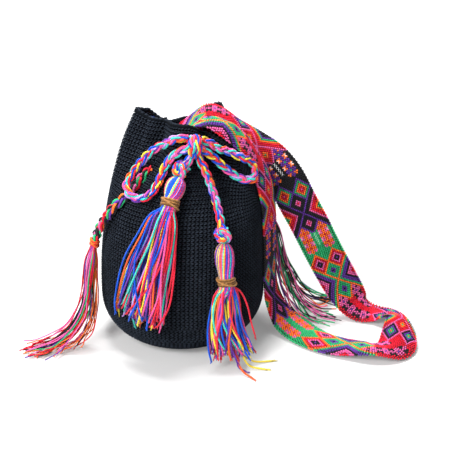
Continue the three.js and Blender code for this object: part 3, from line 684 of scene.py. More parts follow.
# Place in millimetres, direction across the band, half-angle of its curl, share of the full width
STRAP_STATIONS = [
    ((-26, -22, RIM - 60), (0.6, -0.6, -0.3), 0.3, 0.32),
    ((-16, -11, RIM - 58), (0.5, -0.75, -0.3), 1, 0.7),
    ((-1, 3, RIM - 42), (0.3, -0.9, -0.2), 0.9, 0.95),
    ((13, 7, RIM - 21), (0.12, -0.95, -0.28), 0.1, 0.85),
    ((30, 9, RIM - 8), (-0.08, -0.9, -0.4), -0.2, 0.86),
    ((50.5, 10, RIM - 13), (-0.05, -0.85, -0.52), -0.65, 1),
    ((69.5, 14, RIM - 26.5), (-0.2, -0.88, -0.42), -0.75, 1),
    ((SIDE - 8.5, 19, RIM - 51), (-0.44, -0.62, -0.62), -0.45, 1),
    ((SIDE + 10, 19, RIM - 71), (-0.68, -0.22, -0.68), -0.25, 1),
    ((SIDE + 25.5, 20, RIM - 91.5), (-0.8, 0.05, -0.58), -0.12, 1),
    ((SIDE + 39, 21, RIM - 118), (-0.87, 0, -0.49), -0.1, 1),
    ((SIDE + 57, 23, 128), (-0.87, 0.02, -0.47), -0.1, 1),
    ((SIDE + 73, 26, 95), (-0.88, 0.02, -0.46), -0.1, 1),
    ((SIDE + 90, 31, 62), (-0.86, -0.05, -0.48), -0.12, 1),
    ((SIDE + 107, 34, 33), (-0.8, -0.35, -0.45), -0.15, 1),
    ((SIDE + 126, 29, 13), (-0.6, -0.75, -0.18), -0.2, 1),
    ((SIDE + 146, 25, 8.5), (-0.1, -0.98, 0.05), -0.3, 1),
    ((SIDE + 162, 10, 13), (-0.55, -0.78, 0.26), -0.4, 0.95),
    ((SIDE + 171, -15, 17.5), (-0.85, 0, 0.46), -0.6, 0.9),
    ((SIDE + 164, -43, 14), (-0.68, 0.66, 0.26), -0.5, 0.94),
    ((SIDE + 153, -67, 9), (-0.45, 0.88, 0.05), -0.4, 1),
    ((SIDE + 127, -72, 11.5), (-0.06, 0.95, -0.22), -0.35, 1),
    ((SIDE + 107, -65, 10), (0.08, 0.98, -0.12), -0.4, 1),
    ((SIDE + 84, -56, 8.5), (0.25, 0.96, -0.03), -0.45, 1),
    ((SIDE + 63, -42, 8), (0.6, 0.8, 0), -0.4, 1),
    ((SIDE + 44, -22, 9), (0.65, 0.75, 0.05), -0.3, 1),
    ((SIDE + 27, -3, 17), (0.5, 0.85, 0.05), -0.2, 1),
    ((SIDE + 14, 5, 38), (0.35, 0.93, 0), -0.15, 1),
    ((SIDE + 9.2, 3, 68), (0.33, 0.94, 0), -0.12, 1),
    ((SIDE + 8.6, 0, 104), (0.34, 0.94, 0), -0.12, 1),
    ((SIDE + 7.8, -1, 142), (0.34, 0.94, 0), -0.15, 1),
    ((SIDE + 4.5, -4.5, RIM - 102), (0.34, 0.94, 0.03), -0.2, 0.95),
    ((SIDE - 4, -8, RIM - 70), (0.32, 0.94, 0.03), -0.3, 0.92),
    ((84.5, -13, RIM - 43.5), (0.25, 0.95, -0.08), -0.5, 0.86),
    ((69, -20, RIM - 22), (0.25, 0.95, 0), -0.8, 0.95),
    ((53, -25, RIM - 9), (0.35, 0.92, -0.12), -0.9, 1),
    ((38.5, -24.5, RIM - 3.5), (0.48, 0.87, -0.05), -0.7, 0.88),
    ((26, -19.5, RIM - 8), (0.68, 0.7, 0.05), -0.6, 0.78),
    ((18, -14.5, RIM - 35), (0.85, 0.5, 0.1), -0.7, 0.78),
    ((19, -9, RIM - 62), (0.7, 0, 0.5), -0.8, 0.7),
    ((30, 2.5, RIM - 71.5), (0.3, -0.5, 0.8), -0.7, 0.5),
    ((43, 9, RIM - 72), (0.2, -0.5, 0.85), -0.3, 0.32),
]
# Sizes of the pattern in steps of the knots' grid
REPEAT = 56
MIDDLE_CROSS = 168  # row in which the pattern turns back
PANEL_START = -40  # rows from a cross back to where its leaf panel fills the band
LEAF_COLUMN = 8
LEAF_ROWS = (-46, -25)
LEAF_BEAT = 6  # rows from one dot of a leaf to the next
FIRST_DOT = -42
LEAF_EDGE = 4  # half-width of a leaf
LEAF_OWN = np.array([4, 3, 0, 1])  # half-width in the leaf's own colour, by rows from a dot
PLAIN_UNIT = 2  # its panels have no holes
DIAMOND = 8
RINGS = (6, 4, 2, 0)  # from a diamond's outline to its middle
FIRST_UNIT = 2
PATTERN_UNITS = [
    {"ground": BLACK, "leaf": VIOLET, "bead": TANGERINE, "dot": GREEN, "cross": VIOLET,
     "pair": [GREEN, TANGERINE, SCARLET, ROSE], "diamond": [BLACK, BLACK, ROSE, SCARLET],
     "side": [BLACK, BLACK, ROSE, SCARLET, SCARLET, TANGERINE, GREEN, GREEN]},
    {"ground": GREEN, "leaf": TANGERINE, "bead": ROSE, "dot": SCARLET, "cross": TANGERINE,
     "pair": [SCARLET, ROSE, BLACK, VIOLET], "diamond": [GREEN, GREEN, VIOLET, BLACK],
     "side": [GREEN, VIOLET, VIOLET, BLACK, ROSE, ROSE, SCARLET, SCARLET]},
    {"ground": SCARLET, "leaf": ROSE, "bead": BLACK, "dot": VIOLET, "cross": ROSE,
     "pair": [BLACK, VIOLET, GREEN, TANGERINE], "diamond": [SCARLET, SCARLET, TANGERINE, GREEN],
     "side": [SCARLET, SCARLET, TANGERINE, GREEN, VIOLET, BLACK, BLACK, BLACK]},
]


def strap_line():
    """Rows of the band: centres, directions along, across and back, curls, width shares and lengths."""
    centre = curve([np.array(s[0]) * MILLIMETRE for s in STRAP_STATIONS], STATION_POINTS)
    across = curve([np.array(s[1], float) for s in STRAP_STATIONS], STATION_POINTS)
    shape = curve([np.array([s[2], s[3], 0]) for s in STRAP_STATIONS], STATION_POINTS)
    run = run_along(centre)
    marks, counts = np.array(STRAP_ROWS).T
    pitches = np.diff(marks) / np.diff(counts)
    first = counts[0] - marks[0] / pitches[0]
    last = counts[-1] + (run[-1] - marks[-1]) / pitches[-1]
    rows = np.arange(math.ceil(first), math.floor(last) + 1)
    stops = np.interp(rows, [first, *counts, last], [0, *marks, run[-1]])
    centre, across, shape = (np.stack([np.interp(stops, run, part[:, k]) for k in range(3)], -1)
                             for part in (centre, across, shape))
    along = unit(np.gradient(centre, axis=0))
    side = square_to(across, along)
    curl = np.where(np.abs(shape[:, 0]) < FLATTEST_CURL, FLATTEST_CURL, shape[:, 0])
    return rows, run[-1], centre, along, side, np.cross(along, side), curl, shape[:, 1], np.gradient(stops)


def strap_pattern(column, row):
    """Tint of each knot, whether it is left open and whether it lies beside a hole, by its column and row."""
    a = np.abs(column)
    folded = MIDDLE_CROSS - np.abs(row - MIDDLE_CROSS)
    number = (folded - PANEL_START) // REPEAT
    w = folded - number * REPEAT  # rows past the middle of the cross
    following = w > np.maximum(STRAP_STEPS - a, a)  # the next panel begins between the arms of the cross
    kind = (number + following + FIRST_UNIT) % len(PATTERN_UNITS)
    w = w - REPEAT * following
    from_leaf = np.abs(a - LEAF_COLUMN)
    pair_ring = from_leaf + np.abs(w + STRAP_STEPS)
    diamond_ring = a + np.abs(np.abs(w) - DIAMOND)
    from_cross = a - np.abs(w)
    panel = (w < 0) & (from_cross < 0) & (diamond_ring > DIAMOND) & (pair_ring > DIAMOND)
    leafy = panel & (w >= LEAF_ROWS[0]) & (w <= LEAF_ROWS[1])
    tip = np.minimum(w - LEAF_ROWS[0], LEAF_ROWS[1] - w)  # rows from the nearer tip of a leaf
    beat = (w - FIRST_DOT) % LEAF_BEAT
    from_dot = np.minimum(beat, LEAF_BEAT - beat)
    lobe = LEAF_OWN[from_dot]
    tints = np.zeros((len(a), 3))
    for number, tint in enumerate(PATTERN_UNITS):
        here = kind == number
        tints[here] = tint["ground"]
        leaf = here & leafy & (from_leaf <= np.minimum(lobe, tip))
        tints[leaf] = tint["leaf"]
        tints[leaf & (from_leaf == 0) & (from_dot == 0)] = tint["dot"]
        beads = (from_leaf > lobe) & (from_leaf <= LEAF_EDGE)
        tints[here & leafy & (tip > 1) & beads] = tint["bead"]
        sides = here & (from_cross > 0) & (np.abs(w) <= STRAP_STEPS)
        steps = np.clip(from_cross // 2 - 1, 0, len(tint["side"]) - 1)
        tints[sides] = np.array(tint["side"])[steps[sides]]
        for ring, inner, outer in zip(RINGS, tint["diamond"], tint["pair"]):
            tints[here & (diamond_ring // 2 * 2 == ring)] = inner
            tints[here & (pair_ring // 2 * 2 == ring) & (w < 0)] = outer
        arms = (from_cross == 0) & (np.abs(w) <= STRAP_STEPS)
        outline = (diamond_ring == DIAMOND) | (pair_ring == DIAMOND) & (w < 0)
        tints[here & (arms | outline)] = tint["cross"]
    notch = from_dot == LEAF_BEAT // 2
    between_knots = (a == 0) | notch & (from_leaf == LEAF_EDGE)
    left_open = leafy & (tip > 4) & (kind != PLAIN_UNIT) & between_knots & ((column + row) % 2 == 1)
    beside_hole = leafy & ((a < 2) | (np.abs(from_leaf - LEAF_EDGE) < 2) & (from_dot > 1))
    return tints, left_open, beside_hole


def planted(name, places, motif, material, sway, seed):
    """A mesh with a copy of a motif on every place, turned to the surface there by Geometry Nodes.

    places holds a point, an outward and an along direction, a size and a tint for each copy.
    """
    spots = bpy.data.meshes.new(name + "_spots")
    spots.from_pydata(places["point"].tolist(), [], [])
    for key in ("outward", "along", "size"):
        attribute = spots.attributes.new(key, "FLOAT_VECTOR", "POINT")
        attribute.data.foreach_set("vector", places[key].astype(np.float32).ravel())
    tint_points(spots, places["tint"])
    tree = bpy.data.node_groups.new(name + "_planting", "GeometryNodeTree")
    sockets = {}
    for label, kind in (("Spots", "Geometry"), ("Motif", "Object"), ("Finish", "Material"), ("Sway", "Float"),
                        ("Seed", "Int")):
        sockets[label] = tree.interface.new_socket(label, in_out="INPUT", socket_type="NodeSocket" + kind)
    tree.interface.new_socket("Mesh", in_out="OUTPUT", socket_type="NodeSocketGeometry")
    given = add_node(tree, "NodeGroupInput").outputs
    read = {key: add_node(tree, "GeometryNodeInputNamedAttribute", {"Name": key}, data_type="FLOAT_VECTOR")
            for key in ("outward", "along", "size")}
    facing = add_node(tree, "FunctionNodeAxesToRotation",
                      {"Primary Axis": read["outward"].outputs["Attribute"],
                       "Secondary Axis": read["along"].outputs["Attribute"]},
                      primary_axis="Z", secondary_axis="X")
    least = add_node(tree, "ShaderNodeMath", {0: given["Sway"], 1: -1.0}, operation="MULTIPLY")
    chance = add_node(tree, "FunctionNodeRandomValue", {"Seed": given["Seed"]}, data_type="FLOAT")
    tree.links.new(least.outputs[0], chance.inputs[2])
    tree.links.new(given["Sway"], chance.inputs[3])
    swing = add_node(tree, "ShaderNodeCombineXYZ", {"Z": chance.outputs[1]})
    tilt = add_node(tree, "FunctionNodeEulerToRotation", {"Euler": swing.outputs["Vector"]})
    turned = add_node(tree, "FunctionNodeRotateRotation", {"Rotation": facing.outputs["Rotation"],
                                                           "Rotate By": tilt.outputs["Rotation"]},
                      rotation_space="LOCAL")
    shape = add_node(tree, "GeometryNodeObjectInfo", {"Object": given["Motif"]})
    copies = add_node(tree, "GeometryNodeInstanceOnPoints",
                      {"Points": given["Spots"], "Instance": shape.outputs["Geometry"],
                       "Rotation": turned.outputs["Rotation"], "Scale": read["size"].outputs["Attribute"]})
    solid = add_node(tree, "GeometryNodeRealizeInstances", {"Geometry": copies.outputs["Instances"]})
    finished = add_node(tree, "GeometryNodeSetMaterial", {"Geometry": solid.outputs["Geometry"],
                                                          "Material": given["Finish"]})
    add_node(tree, "NodeGroupOutput", {"Mesh": finished.outputs["Geometry"]})
    pattern = bpy.data.objects.new(name + "_motif", motif)
    holder = bpy.data.objects.new(name + "_spots", spots)
    for helper in (pattern, holder):
        bpy.context.scene.collection.objects.link(helper)
    modifier = holder.modifiers.new("planting", "NODES")
    modifier.node_group = tree
    for label, value in (("Motif", pattern), ("Finish", material), ("Sway", sway), ("Seed", seed)):
        modifier[sockets[label].identifier] = value
    graph = bpy.context.evaluated_depsgraph_get()
    made = holder.evaluated_get(graph)
    mesh = bpy.data.meshes.new_from_object(made, preserve_all_data_layers=True, depsgraph=graph)
    mesh.name = name
    for helper in (pattern, holder):
        bpy.data.objects.remove(helper)
    return mesh


def bead_motif():
    """One small hitch of thread, a unit across: an icosahedron."""
    golden = (1 + math.sqrt(5)) / 2
    corners = [
        (-1, golden, 0), (1, golden, 0), (-1, -golden, 0), (1, -golden, 0), (0, -1, golden), (0, 1, golden),
        (0, -1, -golden), (0, 1, -golden), (golden, 0, -1), (golden, 0, 1), (-golden, 0, -1), (-golden, 0, 1),
    ]
    sides = [
        (0, 11, 5), (0, 5, 1), (0, 1, 7), (0, 7, 10), (0, 10, 11), (1, 5, 9), (5, 11, 4), (11, 10, 2),
        (10, 7, 6), (7, 1, 8), (3, 9, 4), (3, 4, 2), (3, 2, 6), (3, 6, 8), (3, 8, 9), (4, 9, 5), (2, 4, 11),
        (6, 2, 10), (8, 6, 7), (9, 8, 1),
    ]
    return new_mesh("hitch", unit(np.array(corners)) / 2, sides)


rows, strap_length, centre, along, across, back, curl, share, row_length = strap_line()
half_width = STRAP_WIDTH / 2


def on_band(row, column):
    """Points of the band's middle and its directions away from the side that shows, at indexes of rows."""
    bend = half_width * share[row] / curl[row]
    turn = curl[row] * column / STRAP_STEPS
    away = across[row] * np.sin(turn)[:, None] + back[row] * np.cos(turn)[:, None]
    return centre[row] + (away - back[row]) * bend[:, None], away


columns = np.arange(-STRAP_STEPS, STRAP_STEPS + 1)
row, column = (grid.ravel() for grid in np.meshgrid(np.arange(len(rows)), columns, indexing="ij"))
tints, left_open, beside_hole = strap_pattern(column, rows[row])
keep = ((column + rows[row]) % 2 == 0) & ~left_open
placed = np.where(np.abs(column) == STRAP_STEPS - 1, np.sign(column) * EDGE_KNOT, column)
knot_points, knot_out = on_band(row[keep], placed[keep])
knot_width = share[row[keep]] * STRAP_KNOT[1] * np.where(beside_hole[keep], HOLE_KNOT, 1)
knot_length = row_length[row[keep]] * STRAP_KNOT[0]
thread = fibre_material("waxed_thread", roughness=0.55, gloss=0.12, sheen=0.1, plies=1, ply_rise=0.0,
                        fuzz_rise=0.0002)
strap_random = np.random.default_rng(21)
knots = {
    "point": knot_points,
    "outward": -knot_out,
    "along": along[row[keep]],
    "size": np.stack([knot_length, knot_width, np.full(keep.sum(), STRAP_KNOT[2])], -1),
    "tint": tints[keep] * strap_random.uniform(*KNOT_SHADES, (keep.sum(), 1)),
}
knot_mesh = planted("strap_knots", knots, bead_motif(), thread, KNOT_SWAY, seed=3)
strap_knots = show("strap_knots", knot_mesh, thread, "macrame", "strap_band")


def strap_cloth():
    """The band's ground behind its knots, with the open knots left out, darkened as painted shade between the
    knots.
    """
    points, _ = on_band(row, column)
    shades = strap_pattern(column - (column + rows[row]) % 2, rows[row])[0]
    width = len(columns)
    first = (np.arange(len(rows) - 1)[:, None] * width + np.arange(width - 1)).ravel()
    faces = np.stack([first, first + 1, first + 1 + width, first + width], -1)
    solid = ~left_open[faces].any(1)
    mesh = new_mesh("strap_cloth", points, faces[solid].tolist())
    # Painted shade: the ground is a neighbouring knot's tint, darkened as the shade between the knots
    tint_points(mesh, shades * CLOTH_PAINTED_SHADE)
    mesh.uv_layers.new(name="UVMap")
    return mesh


cloth = show("strap_cloth", strap_cloth(), thread, "macrame", "strap_band")

# Strap tails
# At both ends the strap's threads are plaited into a round braid, brought out through the wall, bound
# with thread and left loose below the binding.
TAIL = 0.0125
TAIL_PITCH = 0.030
TAIL_THREAD = 0.0016
TAIL_STRANDS = [
    (BLACK, GREEN, VIOLET, BLACK), (SCARLET, TANGERINE, BLACK, ROSE), (BLACK, VIOLET, GREEN, SCARLET),
]
TAIL_BINDING_HEIGHT = 0.009
TAIL_BINDING_TURNS = 3
TAIL_BINDING_THREAD = 0.0008
TAIL_BINDING_RADIUS = 0.0042
FRINGE_THREADS = 50
FRINGE_THREAD = 0.0007
FRINGE_LAID = 0.060
FRINGE_STEP = 0.003  # between the points of a thread
FRINGE_SIDES = 5
FRINGE_DRIFT = 0.8  # in radians round the bundle
FRINGE_WANDER = 0.0022
FRINGE_REACH = (0.15, 1)  # shares of the bundle's half-width, before the threads crowd outwards
FRINGE_CROWDING = 0.6
FAN_POWER = 2.2  # how late the threads part
FRINGE_CUT = (-0.002, 0.006)  # middle and spread of the threads' lengths past the bundle's end
LEFT_THREADS = [SCARLET, TANGERINE, VIOLET, GREEN, BLACK, ROSE, TANGERINE, SCARLET]
RIGHT_THREADS = [BLACK, GREEN, TANGERINE, BLACK, ROSE, VIOLET, TANGERINE, BLACK]
# Places in millimetres
LEFT_TAIL = [
    (-27.2, -23.2, RIM - 60.2), (-37, -32.5, RIM - 65), (-48, -43, RIM - 75), (-60, -49, RIM - 88),
    (23 - SIDE, -51, RIM - 102), (11 - SIDE, -46, RIM - 120), (4 - SIDE, -42.5, RIM - 134),
    (0.5 - SIDE, -41.5, RIM - 144),
]
RIGHT_TAIL = [
    (44.5, 9.8, RIM - 72), (58, 16, RIM - 72), (72, 22, RIM - 71.5), (SIDE - 14, 29, RIM - 74),
    (SIDE - 4, 36, RIM - 82), (SIDE + 2, 40, RIM - 94), (SIDE + 5, 43, RIM - 112),
    (SIDE + 7.5, 44, RIM - 130), (SIDE + 9, 44, RIM - 141),
]
# Place, half-width and half-depth in millimetres
LEFT_FRINGE = [
    (-SIDE - 6, -46, RIM - 168, 8, 7), (-SIDE - 9, -50, RIM - 188, 9, 7), (-SIDE - 12, -53, 70, 10, 7),
    (-SIDE - 19, -56, 48, 11, 7), (-SIDE - 32, -57, 27, 13, 6), (-SIDE - 48, -58, 14, 14, 5.5),
    (-SIDE - 64, -63, 7.5, 15, 4.5), (-SIDE - 79, -71, 5.5, 14, 3.5),
]
RIGHT_FRINGE = [
    (SIDE + 14, 42, RIM - 164, 8, 7), (SIDE + 18, 40, RIM - 184, 9, 7), (SIDE + 23, 37, 74, 10, 7),
    (SIDE + 30, 34, 52, 11, 7), (SIDE + 41, 31, 31, 13, 6), (SIDE + 54, 28, 16, 14, 5.5),
    (SIDE + 68, 24, 8, 14, 4.5), (SIDE + 82, 20, 5.5, 12, 3.5),
]
# Where the outermost threads end beside the bundle on the floor, in millimetres, from one side to the other
LEFT_FAN = [(-10, 4), (-3, 1), (0, 0), (3, -3), (8, -6), (31, -17), (54, 18)]
RIGHT_FAN = [(-33, -14), (-16, -14), (6, -16), (4, 4), (16, 55), (35, 49)]


def fringe(end, direction, stations, colours, fan_out, seed):
    """Loose threads from the binding down to the floor, where they fan out to either side of the bundle."""
    rng = np.random.default_rng(seed)
    fan = np.array(stations, float) * MILLIMETRE
    neck = [TAIL_BINDING_RADIUS - FRINGE_THREAD] * 2
    centres = np.vstack([end, end + direction * TAIL_BINDING_HEIGHT, fan[:, :3]])
    widths = np.concatenate([neck, fan[:, 3]])
    depths = np.concatenate([neck, fan[:, 4]])
    directions = unit(np.gradient(centres, axis=0))
    laid = smooth(1 - centres[:, 2:] / FRINGE_LAID)
    out = square_to(away_from_bag(centres) * (1 - laid) + up * laid, directions)
    across = np.cross(out, directions)
    loose = np.linspace(0, 1, len(centres))
    far = np.array(fan_out) * MILLIMETRE
    threads = []
    for _ in range(FRINGE_THREADS):
        turn = rng.uniform(0, 2 * math.pi) + loose * rng.normal(0, FRINGE_DRIFT)
        reach = rng.uniform(*FRINGE_REACH) ** FRINGE_CROWDING
        goal = rng.uniform(0, len(far) - 1)
        aside = [np.interp(goal, np.arange(len(far)), far[:, axis]) for axis in range(2)]
        points = beside(centres, across, widths * reach * np.cos(turn), out, depths * reach * np.sin(turn))
        points[:, :2] += np.outer(loose ** FAN_POWER, aside)
        points += rng.normal(0, FRINGE_WANDER, points.shape) * loose[:, None]
        points[-1] += directions[-1] * rng.normal(*FRINGE_CUT)
        points[:, 2] = np.maximum(points[:, 2], FRINGE_THREAD)
        tint = colours[rng.integers(len(colours))]
        threads.append((evenly(curve(points, YARN_SPAN), FRINGE_STEP), FRINGE_THREAD, tint))
    return threads


tail_lines = []
for side, tail, stations, colours, fan_out, seed in (
    ("left", LEFT_TAIL, LEFT_FRINGE, LEFT_THREADS, LEFT_FAN, 4),
    ("right", RIGHT_TAIL, RIGHT_FRINGE, RIGHT_THREADS, RIGHT_FAN, 9),
):
    route = np.array(tail) * MILLIMETRE
    line = evenly(curve(route), CORD_STEP)
    tail_lines.append(line)
    name = f"tail_{side}_braid"
    plait = braid(line, TAIL, TAIL_PITCH, TAIL_THREAD, TAIL_STRANDS, away_from_bag)
    piece = show(name, yarn_mesh(name, plait), thread, "macrame", f"strap_braid_{side}")
    direction = unit(route[-1] - route[-2])
    name = f"tail_{side}_binding"
    bound = winding(name, line[-1] + direction * TAIL_BINDING_HEIGHT / 2, direction, TAIL_BINDING_RADIUS,
                    TAIL_BINDING_HEIGHT, TAIL_BINDING_TURNS, TAIL_BINDING_THREAD, [TANGERINE, SCARLET])
    show(name, bound, thread, "macrame", f"braid_binding_{side}")
    name = f"fringe_{side}_threads"
    threads = fringe(line[-1], direction, stations, colours, fan_out, seed)
    show(name, yarn_mesh(name, threads, FRINGE_SIDES), thread, "macrame", f"fringe_{side}")

# Crochet
# Rounds of single crochet in thick black yarn cover the bag inside and out, one stitch above the other on the
# wall, and part where a cord goes through it. A chain of loops closes the rim.
ROUND_PITCH = 0.0046
STITCH_WIDTH = 0.0050
STITCH_DEPTH = 0.0040
FEWEST_STITCHES = 6  # in a round
STITCH_SINK = 0.0010  # middle of a stitch below the bag's outline
STITCH_SHIFT = 0.00012  # unevenness of a round's height
STITCH_SHADES = (0.80, 1.2)  # darkest and palest share of the yarn's tint
STITCH_SWAY = 0.08  # turn of a stitch to either side, in radians
STITCH_CLEARANCE = 0.0008  # between a stitch and a cord
CHAIN_WIDTH = 0.0042  # of the chain on the rim
CHAIN_SHADES = (0.85, 1.2)
RIM_CORD = 0.0021  # radius of the rim's rounded edge under the chain
RIM_SINK = 0.0007  # top of that edge below the rim
FIRST_ROUND = 0.008
SEAM_ANGLE = math.radians(95)  # rounds begin at the back
LINING_DEPTH = 0.080  # stitches show this far down inside the mouth
GRAIN_WAISTS = (0.27, 0.73)  # shares of a grain's length at which it is thickest
GRAIN_BOW = 0.10
BLACK_YARN = dye(42, 48, 57)
# Painted shade: near-black for the hollows under the stitches and the cloth's inside face, where the black
# yarn lies in shade
PAINTED_DEEP_SHADE = dye(4, 4, 8)
# Painted shade: share of the yarn's tint left on the yarn between two rounds and on the rim's edge under the
# chain
RIB_PAINTED_SHADE = 0.2  # of the yarn between two rounds
RIB_LIFT = -0.0008
HOLLOW_LIFT = -0.0026
LINING_LIFT = 0.0010 - WALL
CLOTH_COLUMNS = 192
ROUND_POINTS = 1441  # of the line on which a round's stitches are spaced
CHAIN_LEAD = 0.25  # of a stitch, from the seam to the chain's first loop
EDGE_POINTS = 361
EDGE_SIDES = 8
WALL_STITCHES = round(2 * math.pi * BODY_RADIUS / STITCH_WIDTH)
turned_up = BASE_FLAT + CORNER_ARC
stitch_random = np.random.default_rng(11)


def stitch_motif():
    """One single crochet stitch, a unit wide and high: two grains of yarn that spread from one side of it."""
    # Foot, tip and girth of each grain
    grains = [
        ((-0.54, 0.10, 0.04), (0.54, 0.52, 0.04), 0.16),
        ((-0.54, -0.10, -0.08), (0.54, -0.52, -0.08), 0.15),
    ]
    verts, faces = [], []
    for foot, tip, girth in grains:
        foot, tip = np.array(foot), np.array(tip)
        along = unit(tip - foot)
        across = unit(np.cross((0, 0, 1), along))
        out = np.cross(along, across)
        first = len(verts)
        verts.append(foot)
        for share in GRAIN_WAISTS:
            middle = foot + (tip - foot) * share + out * GRAIN_BOW
            for turn in (0, 1, 2, 3):
                angle = turn * math.pi / 2
                verts.append(middle + girth * (across * math.cos(angle) + out * math.sin(angle)))
        verts.append(tip)
        for k in range(4):
            corner, following = first + 1 + k, first + 1 + (k + 1) % 4
            faces += [
                (first, following, corner),
                (corner, following, following + 4, corner + 4),
                (corner + 4, following + 4, first + 9),
            ]
    return new_mesh("stitch", verts, faces)


def on_round(reach, count, lead=0.0):
    """Angles of a round's evenly spaced stitches, and the width of each."""
    fine = np.linspace(0, 2 * math.pi, ROUND_POINTS) + SEAM_ANGLE
    run = run_along(skin(fine, np.full_like(fine, reach)))
    count = count or max(FEWEST_STITCHES, round(run[-1] / STITCH_WIDTH))
    return np.interp((np.arange(count) + lead) / count * run[-1], run, fine), run[-1] / count


def crochet_rounds(reaches, lift, inside):
    """Places of the stitches on rounds at the given distances up the bag's side."""
    places = {"point": [], "outward": [], "along": [], "size": [], "tint": []}
    facing = -1 if inside else 1
    for reach in reaches:
        angle, wide = on_round(reach, WALL_STITCHES if reach > turned_up else None)
        count = len(angle)
        level = np.full(count, reach) + stitch_random.normal(0, STITCH_SHIFT, count)
        outward, along, _ = skin_frame(angle, level)
        places["point"].append(skin(angle, level) + outward * lift)
        places["outward"].append(outward * facing)
        places["along"].append(along * facing)
        places["size"].append(np.tile((wide, ROUND_PITCH, STITCH_DEPTH), (count, 1)))
        places["tint"].append(BLACK_YARN * stitch_random.uniform(*STITCH_SHADES, (count, 1)))
    return {key: np.concatenate(parts) for key, parts in places.items()}


def rim_chain():
    """The last round's chain of loops, which lies on top of the rim."""
    angle, wide = on_round(SIDE_LENGTH, None, CHAIN_LEAD)
    count = len(angle)
    top = np.full(count, SIDE_LENGTH)
    outward, along, upward = skin_frame(angle, top)
    return {
        "point": skin(angle, top) - outward * WALL / 2 - upward * STITCH_SINK,
        "outward": upward,
        "along": along,
        "size": np.tile((wide, CHAIN_WIDTH, STITCH_DEPTH), (count, 1)),
        "tint": BLACK_YARN * stitch_random.uniform(*CHAIN_SHADES, (count, 1)),
    }


def off_cords(places):
    """Leaves out the stitches that lie where a cord goes through the wall."""
    keep = np.ones(len(places["point"]), bool)
    for line, width in ((drawstring_line, CORD), (tail_lines[0], TAIL), (tail_lines[1], TAIL)):
        gap = np.linalg.norm(places["point"][:, None] - line, axis=2).min(1)
        keep &= gap > width / 2 + STITCH_CLEARANCE
    return {key: value[keep] for key, value in places.items()}


def backing_mesh():
    """The cloth's thickness between the stitches on its two faces, closed at the rim, in painted shade."""
    angles = np.linspace(0, 2 * math.pi, CLOTH_COLUMNS + 1)[:-1]
    halves = np.arange(FIRST_ROUND - ROUND_PITCH / 2, SIDE_LENGTH - ROUND_PITCH / 4, ROUND_PITCH / 2)
    outside = [(r, HOLLOW_LIFT if i % 2 else RIB_LIFT) for i, r in enumerate(halves)]
    inside = [(r, LINING_LIFT) for r in halves[::-2]]
    rings, shades = [], []
    for reach, lift in outside + inside:
        reaches = np.full_like(angles, reach)
        rings.append(skin(angles, reaches) + skin_frame(angles, reaches)[0] * lift)
        # Painted shade: ribs between rounds get a dark share of the yarn, and hollows and the inside face are
        # near-black
        shades += [BLACK_YARN * RIB_PAINTED_SHADE if lift == RIB_LIFT else PAINTED_DEEP_SHADE] * CLOTH_COLUMNS
    ring = np.arange(CLOTH_COLUMNS)
    caps = [ring[::-1].tolist(), (CLOTH_COLUMNS * (len(rings) - 1) + ring).tolist()]
    mesh = new_mesh("bag_cloth", np.concatenate(rings), tube_faces(len(rings), CLOTH_COLUMNS).tolist() + caps)
    mesh.uv_layers.new(name="UVMap")
    tint_points(mesh, np.array(shades))
    return mesh


wool = fibre_material("black_wool", roughness=0.75, gloss=0.03, sheen=0.0, plies=1, ply_rise=0.0,
                      fuzz_rise=0.0002)
show("bag_cloth", backing_mesh(), wool, "crochet", "bag_body")
rounds = np.arange(FIRST_ROUND, SIDE_LENGTH - ROUND_PITCH / 2, ROUND_PITCH)
linings = np.arange(SIDE_LENGTH - LINING_DEPTH, SIDE_LENGTH - ROUND_PITCH / 2, ROUND_PITCH)
for name, places in (
    ("crochet_wall", crochet_rounds(rounds[rounds >= turned_up], -STITCH_SINK, False)),
    ("crochet_base", crochet_rounds(rounds[rounds < turned_up], -STITCH_SINK, False)),
    ("crochet_lining", crochet_rounds(linings, STITCH_SINK - WALL, True)),
    ("crochet_rim", rim_chain()),
):
    stitches = planted(name, off_cords(places), stitch_motif(), wool, STITCH_SWAY, seed=7)
    show(name, stitches, wool, "crochet", "bag_body")
rim_turn = np.linspace(0, 2 * math.pi, EDGE_POINTS) + SEAM_ANGLE
rim_reach = np.full_like(rim_turn, SIDE_LENGTH - RIM_CORD - RIM_SINK)
rim_edge = skin(rim_turn, rim_reach) - skin_frame(rim_turn, rim_reach)[0] * WALL / 2
# Painted shade: the rim's rounded edge is the yarn darkened as the shade under the chain
edge_mesh = yarn_mesh("crochet_edge", [(rim_edge, RIM_CORD, BLACK_YARN * RIB_PAINTED_SHADE)], EDGE_SIDES)
show("crochet_edge", edge_mesh, wool, "crochet", "bag_body")

# Stage
# A plain white floor and soft studio light from the upper left, seen from the photograph's side. The
# floor and the sky are white where they are seen directly, and the floor keeps the shadow.
CAMERA_PLACE = (0.0519, -1.1126, 0.5865)
CAMERA_TILT = math.radians(68)
LENS = 80
SENSOR = 36
FLOOR_REACH = 6.0
FLOOR_GREY = 0.55
FLOOR_GLOW = (0.2, 1.0)  # near the bag and far from it
GLOW_REACH = (0.3, 1.2)  # distances of these from the bag's middle
SKY_LIGHT = 0.26  # on the bag
AIM = (0.03, 0, 0.13)
# Name, place, size and power of each lamp
LAMPS = [
    ("key", (-0.75, -1.25, 1.15), 0.6, 36),
    ("back", (-0.12, 0.10, 1.5), 0.5, 30),
    ("fill", (1.0, -1.1, 0.8), 1.2, 2),
]

